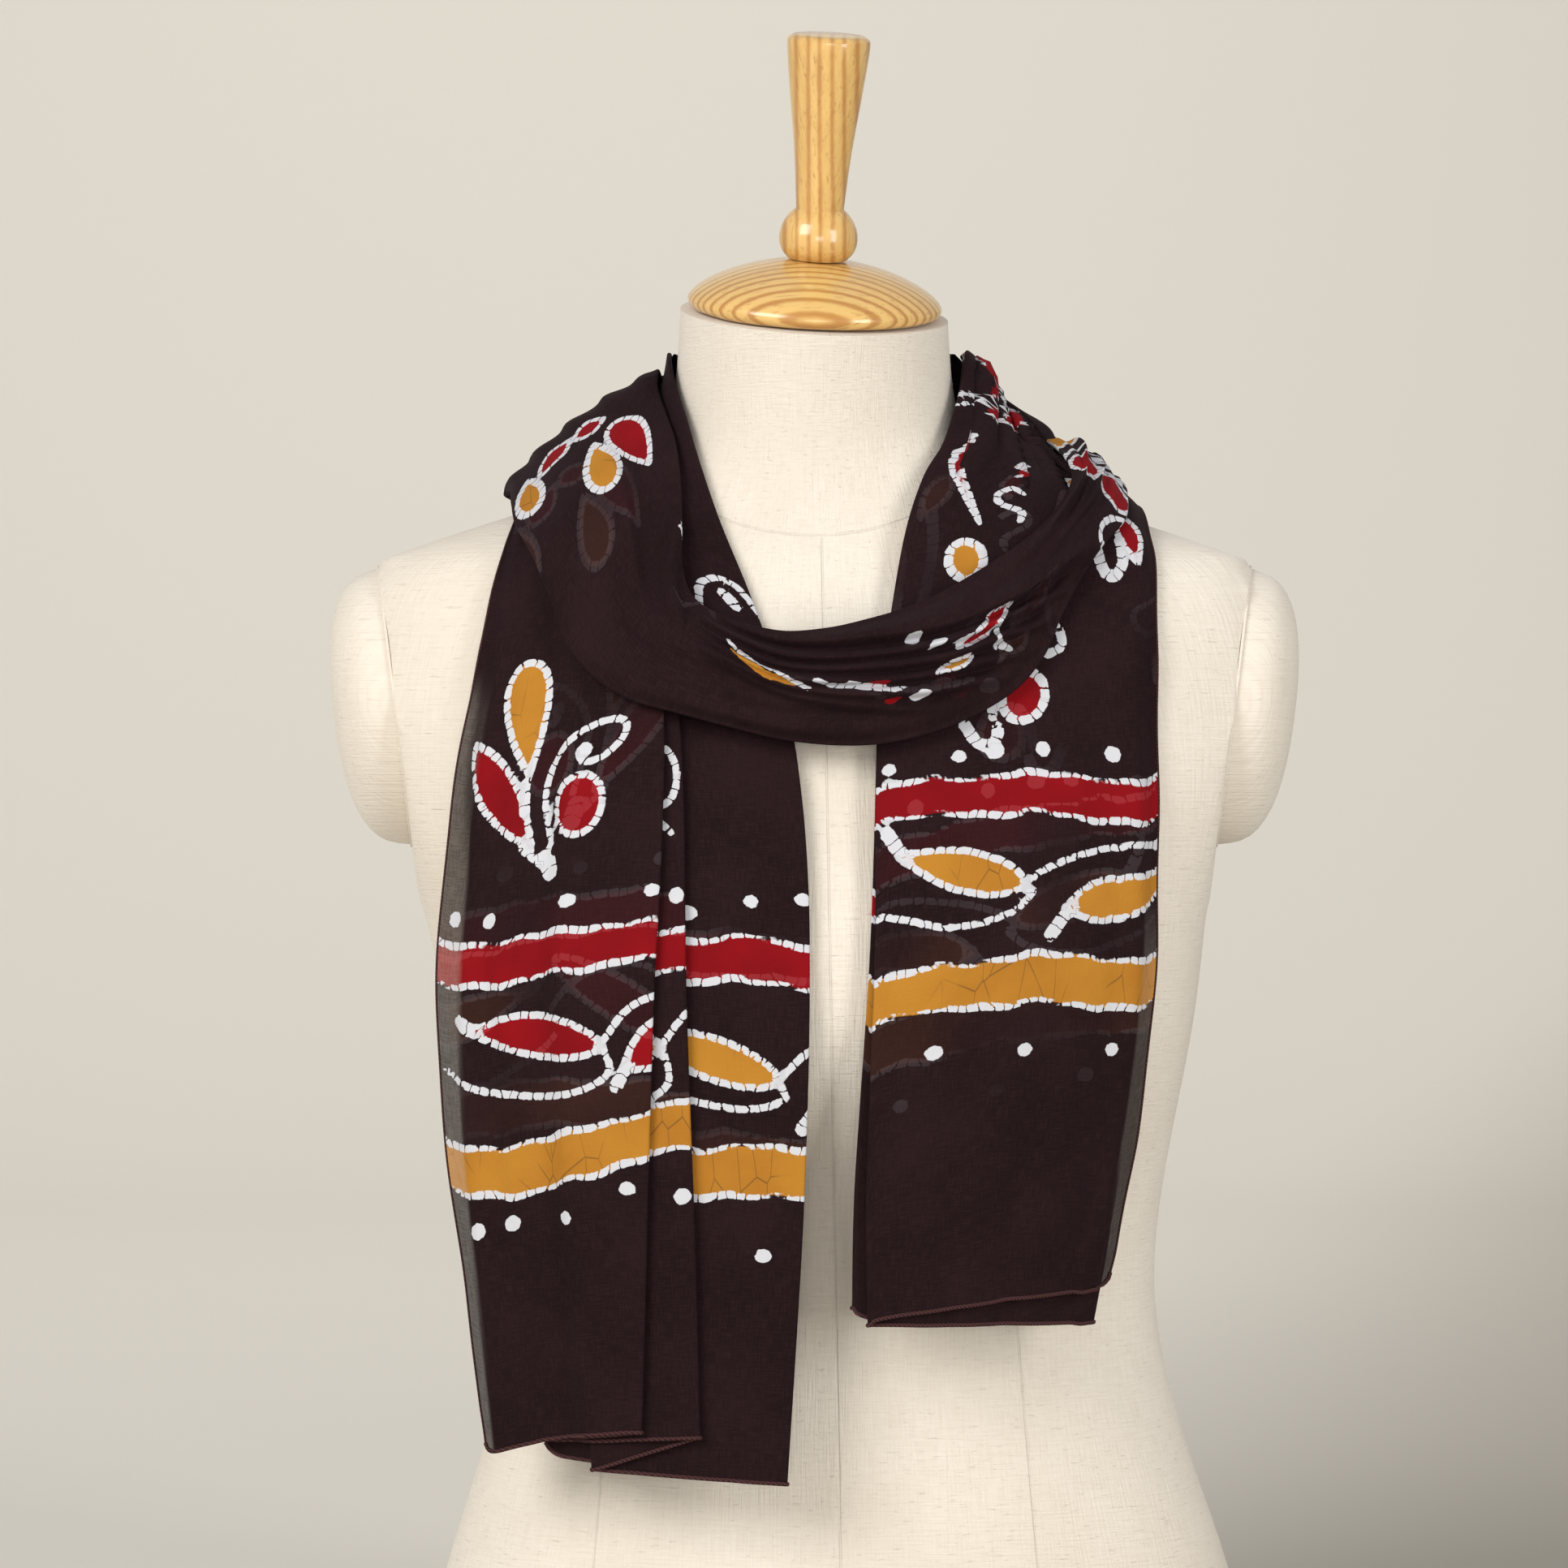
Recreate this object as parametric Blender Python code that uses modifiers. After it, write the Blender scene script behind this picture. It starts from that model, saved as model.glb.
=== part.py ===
"""A cotton stole wound once round the neck of a limbless dress form.

Run it with: blender --background --python part.py

The stole is one long cloth, folded lengthwise, that lies behind the neck, falls as a tail
on each side of the chest and makes one loop in front, over both tails. Each stretch that
shows is an open grid, like the cloth flat on the table, whose points are moved to where the
folded cloth lies, and a Solidify modifier gives it its wall. The form is a canvas torso with
stuffed arm pads, a turned wooden cap on its neck and a turned handle.

Sizes are in millimetres and become metres where a mesh is made. +Z is up, the front of the
form faces -Y, and the form stands on the floor at the origin.
"""

import math

import bmesh
import bpy
import numpy as np
from mathutils import Matrix, Vector
from mathutils.bvhtree import BVHTree

MM = 0.001

# ---------------------------------------------------------------- the form, sizes in mm
GAP = 0.3  # between pieces that touch
RING_SIDES = 36
NECK_BASE = 535.0  # the neck's rings start to lean above this height
NECK_TOP = 583.0
NECK_TOP_SHIFT = -7.0  # how far the neck's top stands in front of its base
CAP_LEAN = 13.0  # degrees the cap leans towards the front
CAP_ROLL = 3.0  # degrees the cap leans to the viewer's right
TURNED_STEPS = 24
ARMHOLE_LOW = (170.0, 350.0)  # x and z of the armhole's plane near its bottom
ARMHOLE_HIGH = (186.0, 481.0)
ARMHOLE_TURN = 4.0  # degrees each armhole faces towards the front
CUT_ABOVE = 330.0  # the armholes' planes cut the torso above this height only
ARM_PAD = {"middle": 417.0, "dome": 26.0, "half_depth": 54.0, "half_height": 60.0, "fullness": 2.6}
ARM_PAD_SEGMENTS = (20, 12)

# The canvas torso: a level section at each height. Squareness 2 is an ellipse, and shift is
# how far the section's middle stands to the right, as this form's hips do.
#    height  half_width  front  back  squareness  shift
FORM_SECTIONS = (
    (0.0, 177.0, 108.0, 118.0, 2.4, 10.0),
    (50.0, 169.0, 105.0, 113.0, 2.4, 10.0),
    (105.0, 148.0, 99.0, 100.0, 2.3, 9.0),
    (160.0, 135.0, 95.0, 85.0, 2.3, 8.0),
    (205.0, 139.0, 102.0, 82.0, 2.3, 7.0),
    (250.0, 150.0, 118.0, 86.0, 2.3, 5.0),
    (290.0, 160.0, 129.0, 92.0, 2.35, 3.0),
    (330.0, 166.0, 126.0, 97.0, 2.4, 0.5),
    (370.0, 185.0, 113.0, 101.0, 2.5, 0.0),
    (410.0, 195.0, 100.0, 103.0, 2.5, 0.0),
    (445.0, 196.0, 90.0, 100.0, 2.5, 0.0),
    (465.0, 192.0, 82.0, 94.0, 2.5, 0.0),
    (479.0, 184.0, 75.0, 86.0, 2.4, 0.0),
    (488.0, 160.0, 70.0, 79.0, 2.2, 0.0),
    (497.0, 131.0, 66.0, 72.0, 2.1, 0.0),
    (506.0, 105.0, 63.0, 66.0, 2.0, 0.0),
    (515.0, 82.0, 61.0, 61.0, 2.0, 0.0),
    (524.0, 69.0, 60.0, 57.0, 2.0, 0.0),
    (535.0, 62.0, 60.0, 54.0, 2.0, 0.0),
    (560.0, 58.0, 58.0, 54.0, 2.0, 0.0),
    (583.0, 57.0, 57.0, 55.0, 2.0, 0.0),
)

# The turned cap and handle, as radius and height above the neck's top, from top to bottom.
CAP_TOP = 23.5
CAP_PROFILE = (
    (0.0, CAP_TOP),
    (13.5, CAP_TOP),
    (28.0, 20.4),
    (40.0, 16.2),
    (49.0, 11.4),
    (54.0, 7.0),
    (55.0, 4.4),
    (53.5, 1.8),
    (51.0, GAP),
    (0.0, GAP),
)
HANDLE_PROFILE = (
    (0.0, 118.5),
    (15.5, 118.0),
    (17.6, 116.3),
    (18.0, 114.0),
    (15.2, 91.0),
    (12.2, 70.0),
    (10.6, 50.0),
    (10.3, 45.0),
    (13.4, 42.5),
    (16.4, 37.5),
    (17.2, 32.0),
    (16.2, 27.5),
    (13.4, 24.6),
    (12.5, CAP_TOP + GAP),
    (0.0, CAP_TOP + GAP),
)

# ---------------------------------------------------------------- the cloth, sizes in mm
WALL = 1.0  # one folded layer of the cotton
LAYER_PITCH = 1.9  # from one layer of a tail to the next
CLEARANCE = 3.0  # from what a stretch lies on to the middle of its wall
RAMP = 9.0  # how far beyond its edge a layer still lifts the layers above it
TAIL_STATIONS = 19
BED_POINTS = 15  # across the surface a tail lies along
BAND_BED_POINTS = 23  # across the surface a gathered stretch lies along
TAIL_START = 12.0  # behind the shoulder's crest, where front stretches meet the back ones
BACK_START = 12.7  # where the stretches behind the neck take over
SEAM = 0.5 * (TAIL_START + BACK_START)  # stretches rise straight out along this plane
SEAM_BLEND = 22.0  # how far from it they turn to rise at right angles to themselves
NECK_FOOT = 465.0  # on the form's axis; every stretch faces away from here
FRONT_POINTS = 15  # across the layer in front, which shows
HIDDEN_POINTS = 4
FOLD_TURNS = (60.0, 120.0)  # degrees round the small bend between two layers
FAN_FOLDS = 3.5  # soft pleats that fan out from the neck over a shoulder
FAN_LEFT = 0.8
FAN_RIGHT = 3.6
FAN_LENGTH = 0.42  # the share of a tail's length where they have run out
HEM_RAMP = 0.55  # the share of a tail's length above which all its layers are as long
HEM_SHIFT = 2.5  # the power that makes folds move to their places at the hem late
RING_STATIONS = 27
BACK_STATIONS = 13
FOLDS_ACROSS = 4.5  # waves across a gathered stretch
FOLD_DRIFT = 0.8  # waves that run out at an edge along a gathered stretch
FOLD_POWER = 0.8  # below 1 the ridges are broader than the troughs
RING_POINTS = 28
BACK_POINTS = 20
EDGE_CURL = 4.0  # how far the long edges of a gathered stretch turn in
CURL_OUT, CURL_IN, CURL_HALF = 0.1, 0.9, 0.6  # shares of it that shape the turn
NEAREST = WALL + 1.8  # from the middle of one stretch's wall to the next stretch's
CLEARING_TRIES = 12
CLEARING_STEP = 0.1  # added to each move, so that few moves are needed
LIFT_REACH = 70.0  # how far out the search for what lies beneath starts
LIFT_ROUNDS = 8  # of smoothing

# A tail: each row is one section across it, at its edge next to the neck, its outer edge,
# and how far its middle stands out from the straight line between them.
#    inner x, y, z            outer x, y, z            bulge
TAIL_LEFT = (
    (-60.0, TAIL_START, 566.0, -124.0, TAIL_START, 501.0, -16.0),
    (-59.0, -4.0, 565.0, -125.0, -6.0, 500.0, -16.0),
    (-55.0, -22.0, 551.0, -124.0, -24.0, 493.0, -13.0),
    (-48.0, -45.0, 524.0, -125.0, -42.0, 480.0, -8.0),
    (-38.0, -66.0, 488.0, -130.0, -60.0, 458.0, 0.0),
    (-22.0, -87.0, 446.0, -137.0, -73.0, 430.0, 3.0),
    (-10.0, -104.0, 405.0, -145.0, -82.0, 400.0, 5.0),
    (-4.0, -121.0, 353.0, -151.0, -89.0, 356.0, 8.0),
    (-3.0, -131.0, 300.0, -154.0, -95.0, 304.0, 8.0),
    (-4.0, -133.0, 250.0, -152.0, -98.0, 252.0, 8.0),
    (-6.0, -133.0, 200.0, -147.0, -99.0, 204.0, 8.0),
    (-9.0, -133.0, 150.0, -140.0, -100.0, 158.0, 8.0),
    (-12.0, -133.0, 103.0, -134.0, -101.0, 109.0, 8.0),
)
TAIL_RIGHT = (
    (61.0, TAIL_START, 567.0, 133.0, TAIL_START, 499.0, -11.0),
    (60.0, -4.0, 566.0, 135.0, -6.0, 498.0, -11.0),
    (56.0, -20.0, 549.0, 137.0, -24.0, 493.0, -9.0),
    (50.0, -42.0, 524.0, 138.0, -42.0, 482.0, -5.0),
    (38.0, -66.0, 497.0, 139.0, -58.0, 463.0, 0.0),
    (29.0, -88.0, 447.0, 139.0, -73.0, 436.0, 3.0),
    (24.0, -103.0, 404.0, 139.0, -82.0, 400.0, 5.0),
    (23.0, -121.0, 353.0, 140.0, -92.0, 356.0, 7.0),
    (22.0, -131.0, 305.0, 139.0, -98.0, 308.0, 8.0),
    (20.0, -133.0, 255.0, 133.0, -102.0, 258.0, 8.0),
    (19.0, -133.0, 212.0, 126.0, -104.0, 216.0, 8.0),
    (20.0, -133.0, 174.0, 120.0, -106.0, 181.0, 8.0),
)

# How the width of each tail is folded, from the layer next to the body to the one in front.
# A layer runs from start to end across the tail (0 is the edge next to the neck, 1 the outer
# edge), at the neck and at the hem. It hangs longer than the section by the two drops, and
# the ease is the power that shapes the way from one drop to the other.
#    start_neck  end_neck  start_hem  end_hem  start_drop  end_drop  ease
LAYERS_LEFT = (
    (0.80, 0.00, 0.79, 0.00, -5.0, 0.0, 1.0),
    (0.00, 0.64, 0.00, 0.61, 0.0, -1.0, 1.0),
    (0.64, 0.345, 0.61, 0.27, -1.0, -17.0, 1.0),
    (0.345, 0.93, 0.27, 0.95, -17.0, -9.0, 1.0),
    (0.93, 0.36, 0.95, 0.45, -9.0, -18.0, 1.0),
    (0.36, 1.00, 0.45, 1.00, -18.0, -2.0, 1.6),
)
LAYERS_RIGHT = (
    (0.90, 0.05, 0.88, -0.07, 12.0, 0.0, 1.0),
    (0.05, 0.92, -0.07, 0.90, 0.0, 14.0, 0.5),
    (0.92, 0.02, 0.90, 0.02, 14.0, 7.0, 1.0),
    (0.02, 1.00, 0.02, 1.00, 7.0, 0.0, 0.35),
)

# The stretches that go round the neck: each row is one section across, at its upper edge,
# its lower edge, how far its middle stands out, and how deep its folds are.
#    upper x, y, z           lower x, y, z            bulge  fold
FRONT_LOOP = (
    (-66.0, TAIL_START, 559.0, -133.0, TAIL_START, 508.0, 5.0, 0.8),
    (-67.0, -3.0, 558.0, -128.0, -12.0, 508.0, 5.0, 0.8),
    (-66.0, -20.0, 543.0, -121.0, -48.0, 493.0, 6.0, 0.8),
    (-61.0, -46.0, 518.0, -111.0, -80.0, 471.0, 7.0, 0.9),
    (-55.0, -75.0, 489.0, -98.0, -95.0, 440.0, 6.0, 1.4),
    (-53.0, -98.0, 465.0, -79.0, -109.0, 421.0, 5.0, 2.6),
    (-36.0, -112.0, 451.0, -48.0, -117.0, 411.0, 4.0, 3.2),
    (-10.0, -118.0, 444.0, -14.0, -121.0, 402.0, 4.0, 3.6),
    (20.0, -115.0, 450.0, 22.0, -121.0, 400.0, 4.0, 3.8),
    (45.0, -107.0, 459.0, 56.0, -112.0, 409.0, 4.0, 3.8),
    (66.0, -96.0, 471.0, 82.0, -99.0, 428.0, 4.0, 3.6),
    (88.0, -84.0, 486.0, 97.0, -90.0, 453.0, 3.0, 3.2),
    (100.0, -67.0, 498.0, 107.0, -82.0, 471.0, 3.0, 2.8),
    (107.0, -45.0, 509.0, 114.0, -64.0, 488.0, 3.0, 2.6),
    (106.0, -18.0, 521.0, 119.0, -30.0, 503.0, 3.0, 2.4),
    (100.0, TAIL_START, 531.0, 121.0, TAIL_START, 511.0, 3.0, 2.4),
)
NECK_BACK_OVER = (
    (100.0, BACK_START, 531.0, 121.0, BACK_START, 511.0, 3.0, 2.4),
    (93.0, 36.0, 542.0, 115.0, 46.0, 505.0, 4.0, 2.6),
    (76.0, 58.0, 556.0, 98.0, 76.0, 494.0, 5.0, 2.8),
    (46.0, 70.0, 565.0, 62.0, 92.0, 491.0, 5.0, 3.0),
    (12.0, 74.0, 567.0, 18.0, 97.0, 488.0, 5.0, 3.0),
    (-24.0, 72.0, 566.0, -32.0, 95.0, 489.0, 5.0, 2.8),
    (-54.0, 60.0, 564.0, -80.0, 82.0, 493.0, 5.0, 2.2),
    (-68.0, 36.0, 561.0, -116.0, 48.0, 501.0, 5.0, 1.6),
    (-66.0, BACK_START, 559.0, -133.0, BACK_START, 508.0, 5.0, 0.8),
)
NECK_BACK_UNDER = (
    (61.0, BACK_START, 568.0, 128.0, BACK_START, 502.0, -9.0, 1.6),
    (54.0, 34.0, 570.0, 104.0, 50.0, 499.0, -5.0, 2.0),
    (34.0, 50.0, 574.0, 62.0, 76.0, 494.0, -2.0, 2.2),
    (0.0, 56.0, 576.0, 0.0, 82.0, 490.0, 0.0, 2.2),
    (-34.0, 50.0, 574.0, -62.0, 76.0, 494.0, -2.0, 2.2),
    (-54.0, 34.0, 569.0, -102.0, 50.0, 499.0, -5.0, 2.0),
    (-60.0, BACK_START, 567.0, -120.0, BACK_START, 504.0, -11.0, 1.6),
)

# ---------------------------------------------------------------- colours, linear RGB
CANVAS = (0.70, 0.62, 0.50)
WOOD = (0.60, 0.31, 0.09)
CLOTH = (0.035, 0.014, 0.017)


def new_collection(name):
    found = bpy.data.collections.new(name)
    bpy.context.scene.collection.children.link(found)
    return found


def material(name, colour, roughness, coat=0.0):
    made = bpy.data.materials.new(name)
    made.use_nodes = True
    shader = made.node_tree.nodes["Principled BSDF"]
    shader.inputs["Base Color"].default_value = (*colour, 1.0)
    shader.inputs["Roughness"].default_value = roughness
    shader.inputs["Coat Weight"].default_value = coat
    return made


def smoothstep(value):
    value = np.clip(value, 0.0, 1.0)
    return value * value * (3.0 - 2.0 * value)


def along(table, count):
    """A table's rows, followed smoothly at evenly spaced places (Catmull-Rom)."""
    rows = np.array(table)
    places = np.linspace(0.0, len(rows) - 1.0, count)
    low = np.clip(places.astype(int), 0, len(rows) - 2)
    part = (places - low)[:, None]
    before = rows[np.maximum(low - 1, 0)]
    here, after = rows[low], rows[low + 1]
    beyond = rows[np.minimum(low + 2, len(rows) - 1)]
    return 0.5 * (
        2.0 * here
        + (after - before) * part
        + (2.0 * before - 5.0 * here + 4.0 * after - beyond) * part**2
        + (3.0 * here - before - 3.0 * after + beyond) * part**3
    )


# ---------------------------------------------------------------- the dress form
def lean(points):
    """Moves the neck's rings forward and tips them as the cap sits."""
    share = smoothstep((points[:, 2] - NECK_BASE) / (NECK_TOP - NECK_BASE))
    tipped = points.copy()
    tipped[:, 2] += share * (
        points[:, 1] * math.tan(math.radians(CAP_LEAN))
        - points[:, 0] * math.tan(math.radians(CAP_ROLL))
    )
    tipped[:, 1] += share * NECK_TOP_SHIFT
    return tipped


def torso_mesh():
    """A loft through the sections, closed flat at both ends."""
    mesh = bmesh.new()
    turns = np.linspace(0.0, 2.0 * math.pi, RING_SIDES, endpoint=False)
    rings = []
    for height, half_width, front, back, squareness, shift in FORM_SECTIONS:
        power = 2.0 / squareness
        across = np.sign(np.cos(turns)) * np.abs(np.cos(turns)) ** power * half_width
        deep = np.sign(np.sin(turns)) * np.abs(np.sin(turns)) ** power
        deep *= np.where(deep < 0.0, front, back)
        ring = lean(np.column_stack([across + shift, deep, np.full(RING_SIDES, height)]))
        rings.append([mesh.verts.new(point * MM) for point in ring])
    for lower, upper in zip(rings, rings[1:]):
        for index in range(RING_SIDES):
            following = (index + 1) % RING_SIDES
            mesh.faces.new((lower[index], lower[following], upper[following], upper[index]))
    mesh.faces.new(list(reversed(rings[0])))
    mesh.faces.new(rings[-1])
    return mesh


def armhole_plane(side):
    """A point on the armhole's plane and the plane's outward normal."""
    run = Vector((ARMHOLE_HIGH[0] - ARMHOLE_LOW[0], 0.0, ARMHOLE_HIGH[1] - ARMHOLE_LOW[1]))
    normal = Vector((run.z * side, 0.0, -run.x)).normalized()
    normal.rotate(Matrix.Rotation(math.radians(-ARMHOLE_TURN * side), 3, "Z"))
    return Vector((ARMHOLE_LOW[0] * side, 0.0, ARMHOLE_LOW[1])) * MM, normal


def build_form(parts, canvas):
    mesh = torso_mesh()
    for side in (-1.0, 1.0):
        point, normal = armhole_plane(side)
        high = [face for face in mesh.faces if face.calc_center_median().z > CUT_ABOVE * MM]
        edges = {edge for face in high for edge in face.edges}
        corners = {corner for face in high for corner in face.verts}
        cut = bmesh.ops.bisect_plane(
            mesh, geom=[*corners, *edges, *high], plane_co=point, plane_no=normal,
            clear_outer=True,
        )
        edges = [item for item in cut["geom_cut"] if isinstance(item, bmesh.types.BMEdge)]
        bmesh.ops.contextual_create(mesh, geom=edges)
    return finish("form_torso", mesh, parts, canvas)


def build_arm_pad(name, side, parts, canvas):
    """A stuffed pad: half of an egg whose flat side lies on the armhole."""
    mesh = bmesh.new()
    around, rings = ARM_PAD_SEGMENTS
    bmesh.ops.create_uvsphere(mesh, u_segments=around, v_segments=rings, radius=1.0)
    bmesh.ops.bisect_plane(
        mesh, geom=[*mesh.verts, *mesh.edges, *mesh.faces], plane_co=(0.0, 0.0, 0.0),
        plane_no=(0.0, 0.0, -1.0), clear_outer=True,
    )
    rim = [edge for edge in mesh.edges if edge.is_boundary]
    bmesh.ops.contextual_create(mesh, geom=rim)
    power = ARM_PAD["fullness"]
    for corner in mesh.verts:
        out = min(math.hypot(corner.co.x, corner.co.y), 1.0)
        corner.co.z = (1.0 - out**power) ** (1.0 / power)
    sizes = (ARM_PAD["half_depth"] * MM, ARM_PAD["half_height"] * MM, ARM_PAD["dome"] * MM)
    bmesh.ops.scale(mesh, vec=sizes, verts=mesh.verts)
    point, normal = armhole_plane(side)
    middle = Vector((point.x, 0.0, ARM_PAD["middle"] * MM))
    middle.x -= normal.z / normal.x * (middle.z - point.z)
    turn = normal.to_track_quat("Z", "Y").to_matrix().to_4x4()
    place = Matrix.Translation(middle + normal * GAP * MM) @ turn
    bmesh.ops.transform(mesh, matrix=place, verts=mesh.verts)
    return finish(name, mesh, parts, canvas)


def build_turned(name, profile, parts, wood):
    """A piece turned on a lathe: its profile screwed round, then set leaning on the neck."""
    mesh = bpy.data.meshes.new(name)
    points = [(radius * MM, 0.0, height * MM) for radius, height in profile]
    mesh.from_pydata(points, [(i, i + 1) for i in range(len(points) - 1)], [])
    piece = bpy.data.objects.new(name, mesh)
    parts.objects.link(piece)
    screw = piece.modifiers.new("lathe", "SCREW")
    screw.steps = screw.render_steps = TURNED_STEPS
    screw.use_merge_vertices = True
    screw.merge_threshold = 0.00001
    top = Vector((0.0, NECK_TOP_SHIFT, NECK_TOP)) * MM
    piece.matrix_world = (
        Matrix.Translation(top)
        @ Matrix.Rotation(math.radians(CAP_LEAN), 4, "X")
        @ Matrix.Rotation(math.radians(CAP_ROLL), 4, "Y")
    )
    piece.data.materials.append(wood)
    return piece


def finish(name, mesh, parts, surface):
    """Turns a bmesh into an object of the part."""
    bmesh.ops.recalc_face_normals(mesh, faces=mesh.faces)
    data = bpy.data.meshes.new(name)
    mesh.to_mesh(data)
    mesh.free()
    data.polygons.foreach_set("use_smooth", [True] * len(data.polygons))
    data.materials.append(surface)
    made = bpy.data.objects.new(name, data)
    parts.objects.link(made)
    return made


# ---------------------------------------------------------------- the cloth
def base_grid(table, stations, across):
    """The surface a stretch lies along, as stations x across points, without its folds."""
    rows = along(table, stations)
    first, last, bulge = rows[:, None, 0:3], rows[:, None, 3:6], rows[:, 6]
    share = np.linspace(0.0, 1.0, across)[None, :, None]
    grid = first * (1.0 - share) + last * share
    rise = (bulge[:, None] * 4.0 * share[..., 0] * (1.0 - share[..., 0]))[..., None]
    return grid + normals(grid) * rise


def normals(grid):
    """The unit normals of a grid, on the side that faces away from the neck's foot."""
    run = np.gradient(grid, axis=0)
    across = np.gradient(grid, axis=1)
    found = np.cross(across, run)
    found[..., 1] *= smoothstep(np.abs(grid[..., 1] - SEAM) / SEAM_BLEND)
    found /= np.linalg.norm(found, axis=2, keepdims=True)
    outward = grid - np.array([0.0, 0.0, NECK_FOOT])
    outward[..., 2] = np.maximum(outward[..., 2], 0.0)
    middle = grid.shape[0] // 2
    facing = np.sum(found[middle] * outward[middle])
    return found * (1.0 if facing > 0.0 else -1.0)


def lifted(grid, beneath, clearance):
    """Lifts a grid off what lies beneath it, evenly enough to leave no bumps."""
    facing = normals(grid)
    need = np.zeros(grid.shape[:2])
    for index in np.ndindex(need.shape):
        outside = Vector(grid[index] + facing[index] * LIFT_REACH)
        for tree in beneath:
            hit = tree.ray_cast(outside, Vector(-facing[index]), 2.0 * LIFT_REACH)[3]
            if hit is not None:
                need[index] = max(need[index], LIFT_REACH - hit + clearance)
    lift = need
    for _ in range(LIFT_ROUNDS):
        wide = np.pad(lift, 1, mode="edge")
        beside = (wide[:-2, 1:-1] + wide[2:, 1:-1] + wide[1:-1, :-2] + wide[1:-1, 2:]) / 4.0
        lift = np.maximum(need, 0.5 * lift + 0.5 * beside)
    return grid + facing * lift[..., None]


def laid_on(grid, shares, heights):
    """Points at shares across a grid and heights above it, a row per station."""
    facing = normals(grid)
    last = grid.shape[1] - 1
    place = shares * last
    low = np.clip(np.floor(place).astype(int), 0, last - 1)
    part = (place - low)[..., None]
    station = np.arange(grid.shape[0])[:, None]
    on = grid[station, low] * (1.0 - part) + grid[station, low + 1] * part
    part = np.clip(part, 0.0, 1.0)
    up = facing[station, low] * (1.0 - part) + facing[station, low + 1] * part
    up /= np.linalg.norm(up, axis=2, keepdims=True)
    return on + up * heights[..., None], up


def cleared(points, up, beneath):
    """Moves single points that are still too near what lies beneath a little further out."""
    freed = points.copy()
    for index in np.ndindex(points.shape[:2]):
        for _ in range(CLEARING_TRIES):
            spot = Vector(freed[index])
            short = NEAREST - min(tree.find_nearest(spot)[3] for tree in beneath)
            if short <= 0.0:
                break
            freed[index] += up[index] * (short + CLEARING_STEP)
    return freed


def folded_tail(table, layers, fan_depth, beneath):
    """A tail: its width folded to and fro in layers that rest on each other.

    The layer in front also has soft pleats, which fan out from the neck and run out.
    """
    grid = lifted(base_grid(table, TAIL_STATIONS, BED_POINTS), beneath, CLEARANCE)
    width = np.linalg.norm(grid[:, -1] - grid[:, 0], axis=1)
    down = np.linspace(0.0, 1.0, TAIL_STATIONS)
    rows = np.array(layers)
    late = down[:, None] ** HEM_SHIFT
    starts = rows[:, 0] * (1.0 - late) + rows[:, 2] * late
    ends = rows[:, 1] * (1.0 - late) + rows[:, 3] * late
    longer = smoothstep((down - HEM_RAMP) / (1.0 - HEM_RAMP))
    fan = fan_depth * (1.0 - smoothstep(down / FAN_LENGTH))

    def height(share, layer):
        """How high a layer lies at a share across: a pitch for each layer beneath."""
        total = np.zeros(TAIL_STATIONS)
        for lower in range(layer):
            near = np.minimum(starts[:, lower], ends[:, lower])
            far = np.maximum(starts[:, lower], ends[:, lower])
            beyond = np.maximum(np.maximum(near - share, share - far), 0.0) * width
            total += LAYER_PITCH * (1.0 - smoothstep(beyond / RAMP))
        return total

    shares, heights, drops = [], [], []
    for layer in range(len(rows)):
        start, end = starts[:, layer], ends[:, layer]
        front = layer + 1 == len(rows)
        for part in np.linspace(0.0, 1.0, FRONT_POINTS if front else HIDDEN_POINTS):
            share = start * (1.0 - part) + end * part
            ridge = 0.5 - 0.5 * np.cos(2.0 * math.pi * FAN_FOLDS * share)
            shares.append(share)
            heights.append(height(share, layer) + (fan * ridge if front else 0.0))
            eased = part ** rows[layer, 6]
            drops.append(rows[layer, 4] * (1.0 - eased) + rows[layer, 5] * eased)
        if not front:
            onward = np.sign(end - start) * LAYER_PITCH * 0.5 / width
            for turn in FOLD_TURNS:
                shares.append(end + onward * math.sin(math.radians(turn)))
                raised = 0.5 - 0.5 * math.cos(math.radians(turn))
                heights.append(height(end, layer) + LAYER_PITCH * raised)
                drops.append(rows[layer, 5])
    points, _ = laid_on(grid, np.column_stack(shares), np.column_stack(heights))
    points[..., 2] -= np.array(drops)[None, :] * longer[:, None]
    return points


def gathered_band(table, stations, across, beneath):
    """A stretch round the neck: gathered folds along it and long edges that turn in."""
    rows = along(table, stations)
    deep = rows[:, 7][:, None]
    grid = lifted(base_grid(table, stations, BAND_BED_POINTS), beneath, CLEARANCE + EDGE_CURL)
    inner = np.linspace(0.0, 1.0, across - 4)[None, :]
    waves = inner * FOLDS_ACROSS + np.linspace(0.0, FOLD_DRIFT, stations)[:, None]
    ridge = 0.5 + 0.5 * np.sin(2.0 * math.pi * waves)
    heights = deep * ridge**FOLD_POWER
    width = np.linalg.norm(grid[:, -1] - grid[:, 0], axis=1)[:, None]
    tuck = EDGE_CURL / width
    flat = np.ones((stations, 1))
    shares = np.hstack([
        tuck * CURL_IN, -tuck * CURL_OUT, inner * flat, 1.0 + tuck * CURL_OUT, 1.0 - tuck * CURL_IN,
    ])
    low = -EDGE_CURL * flat
    heights = np.hstack([low, CURL_HALF * low, heights, CURL_HALF * low, low])
    return cleared(*laid_on(grid, shares, heights), beneath)


def tree_of(points):
    """A search tree of a grid of points in mm."""
    rows, columns = points.shape[:2]
    corners = [Vector(point) for point in points.reshape(-1, 3)]
    return BVHTree.FromPolygons(corners, grid_faces(rows, columns))


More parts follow.
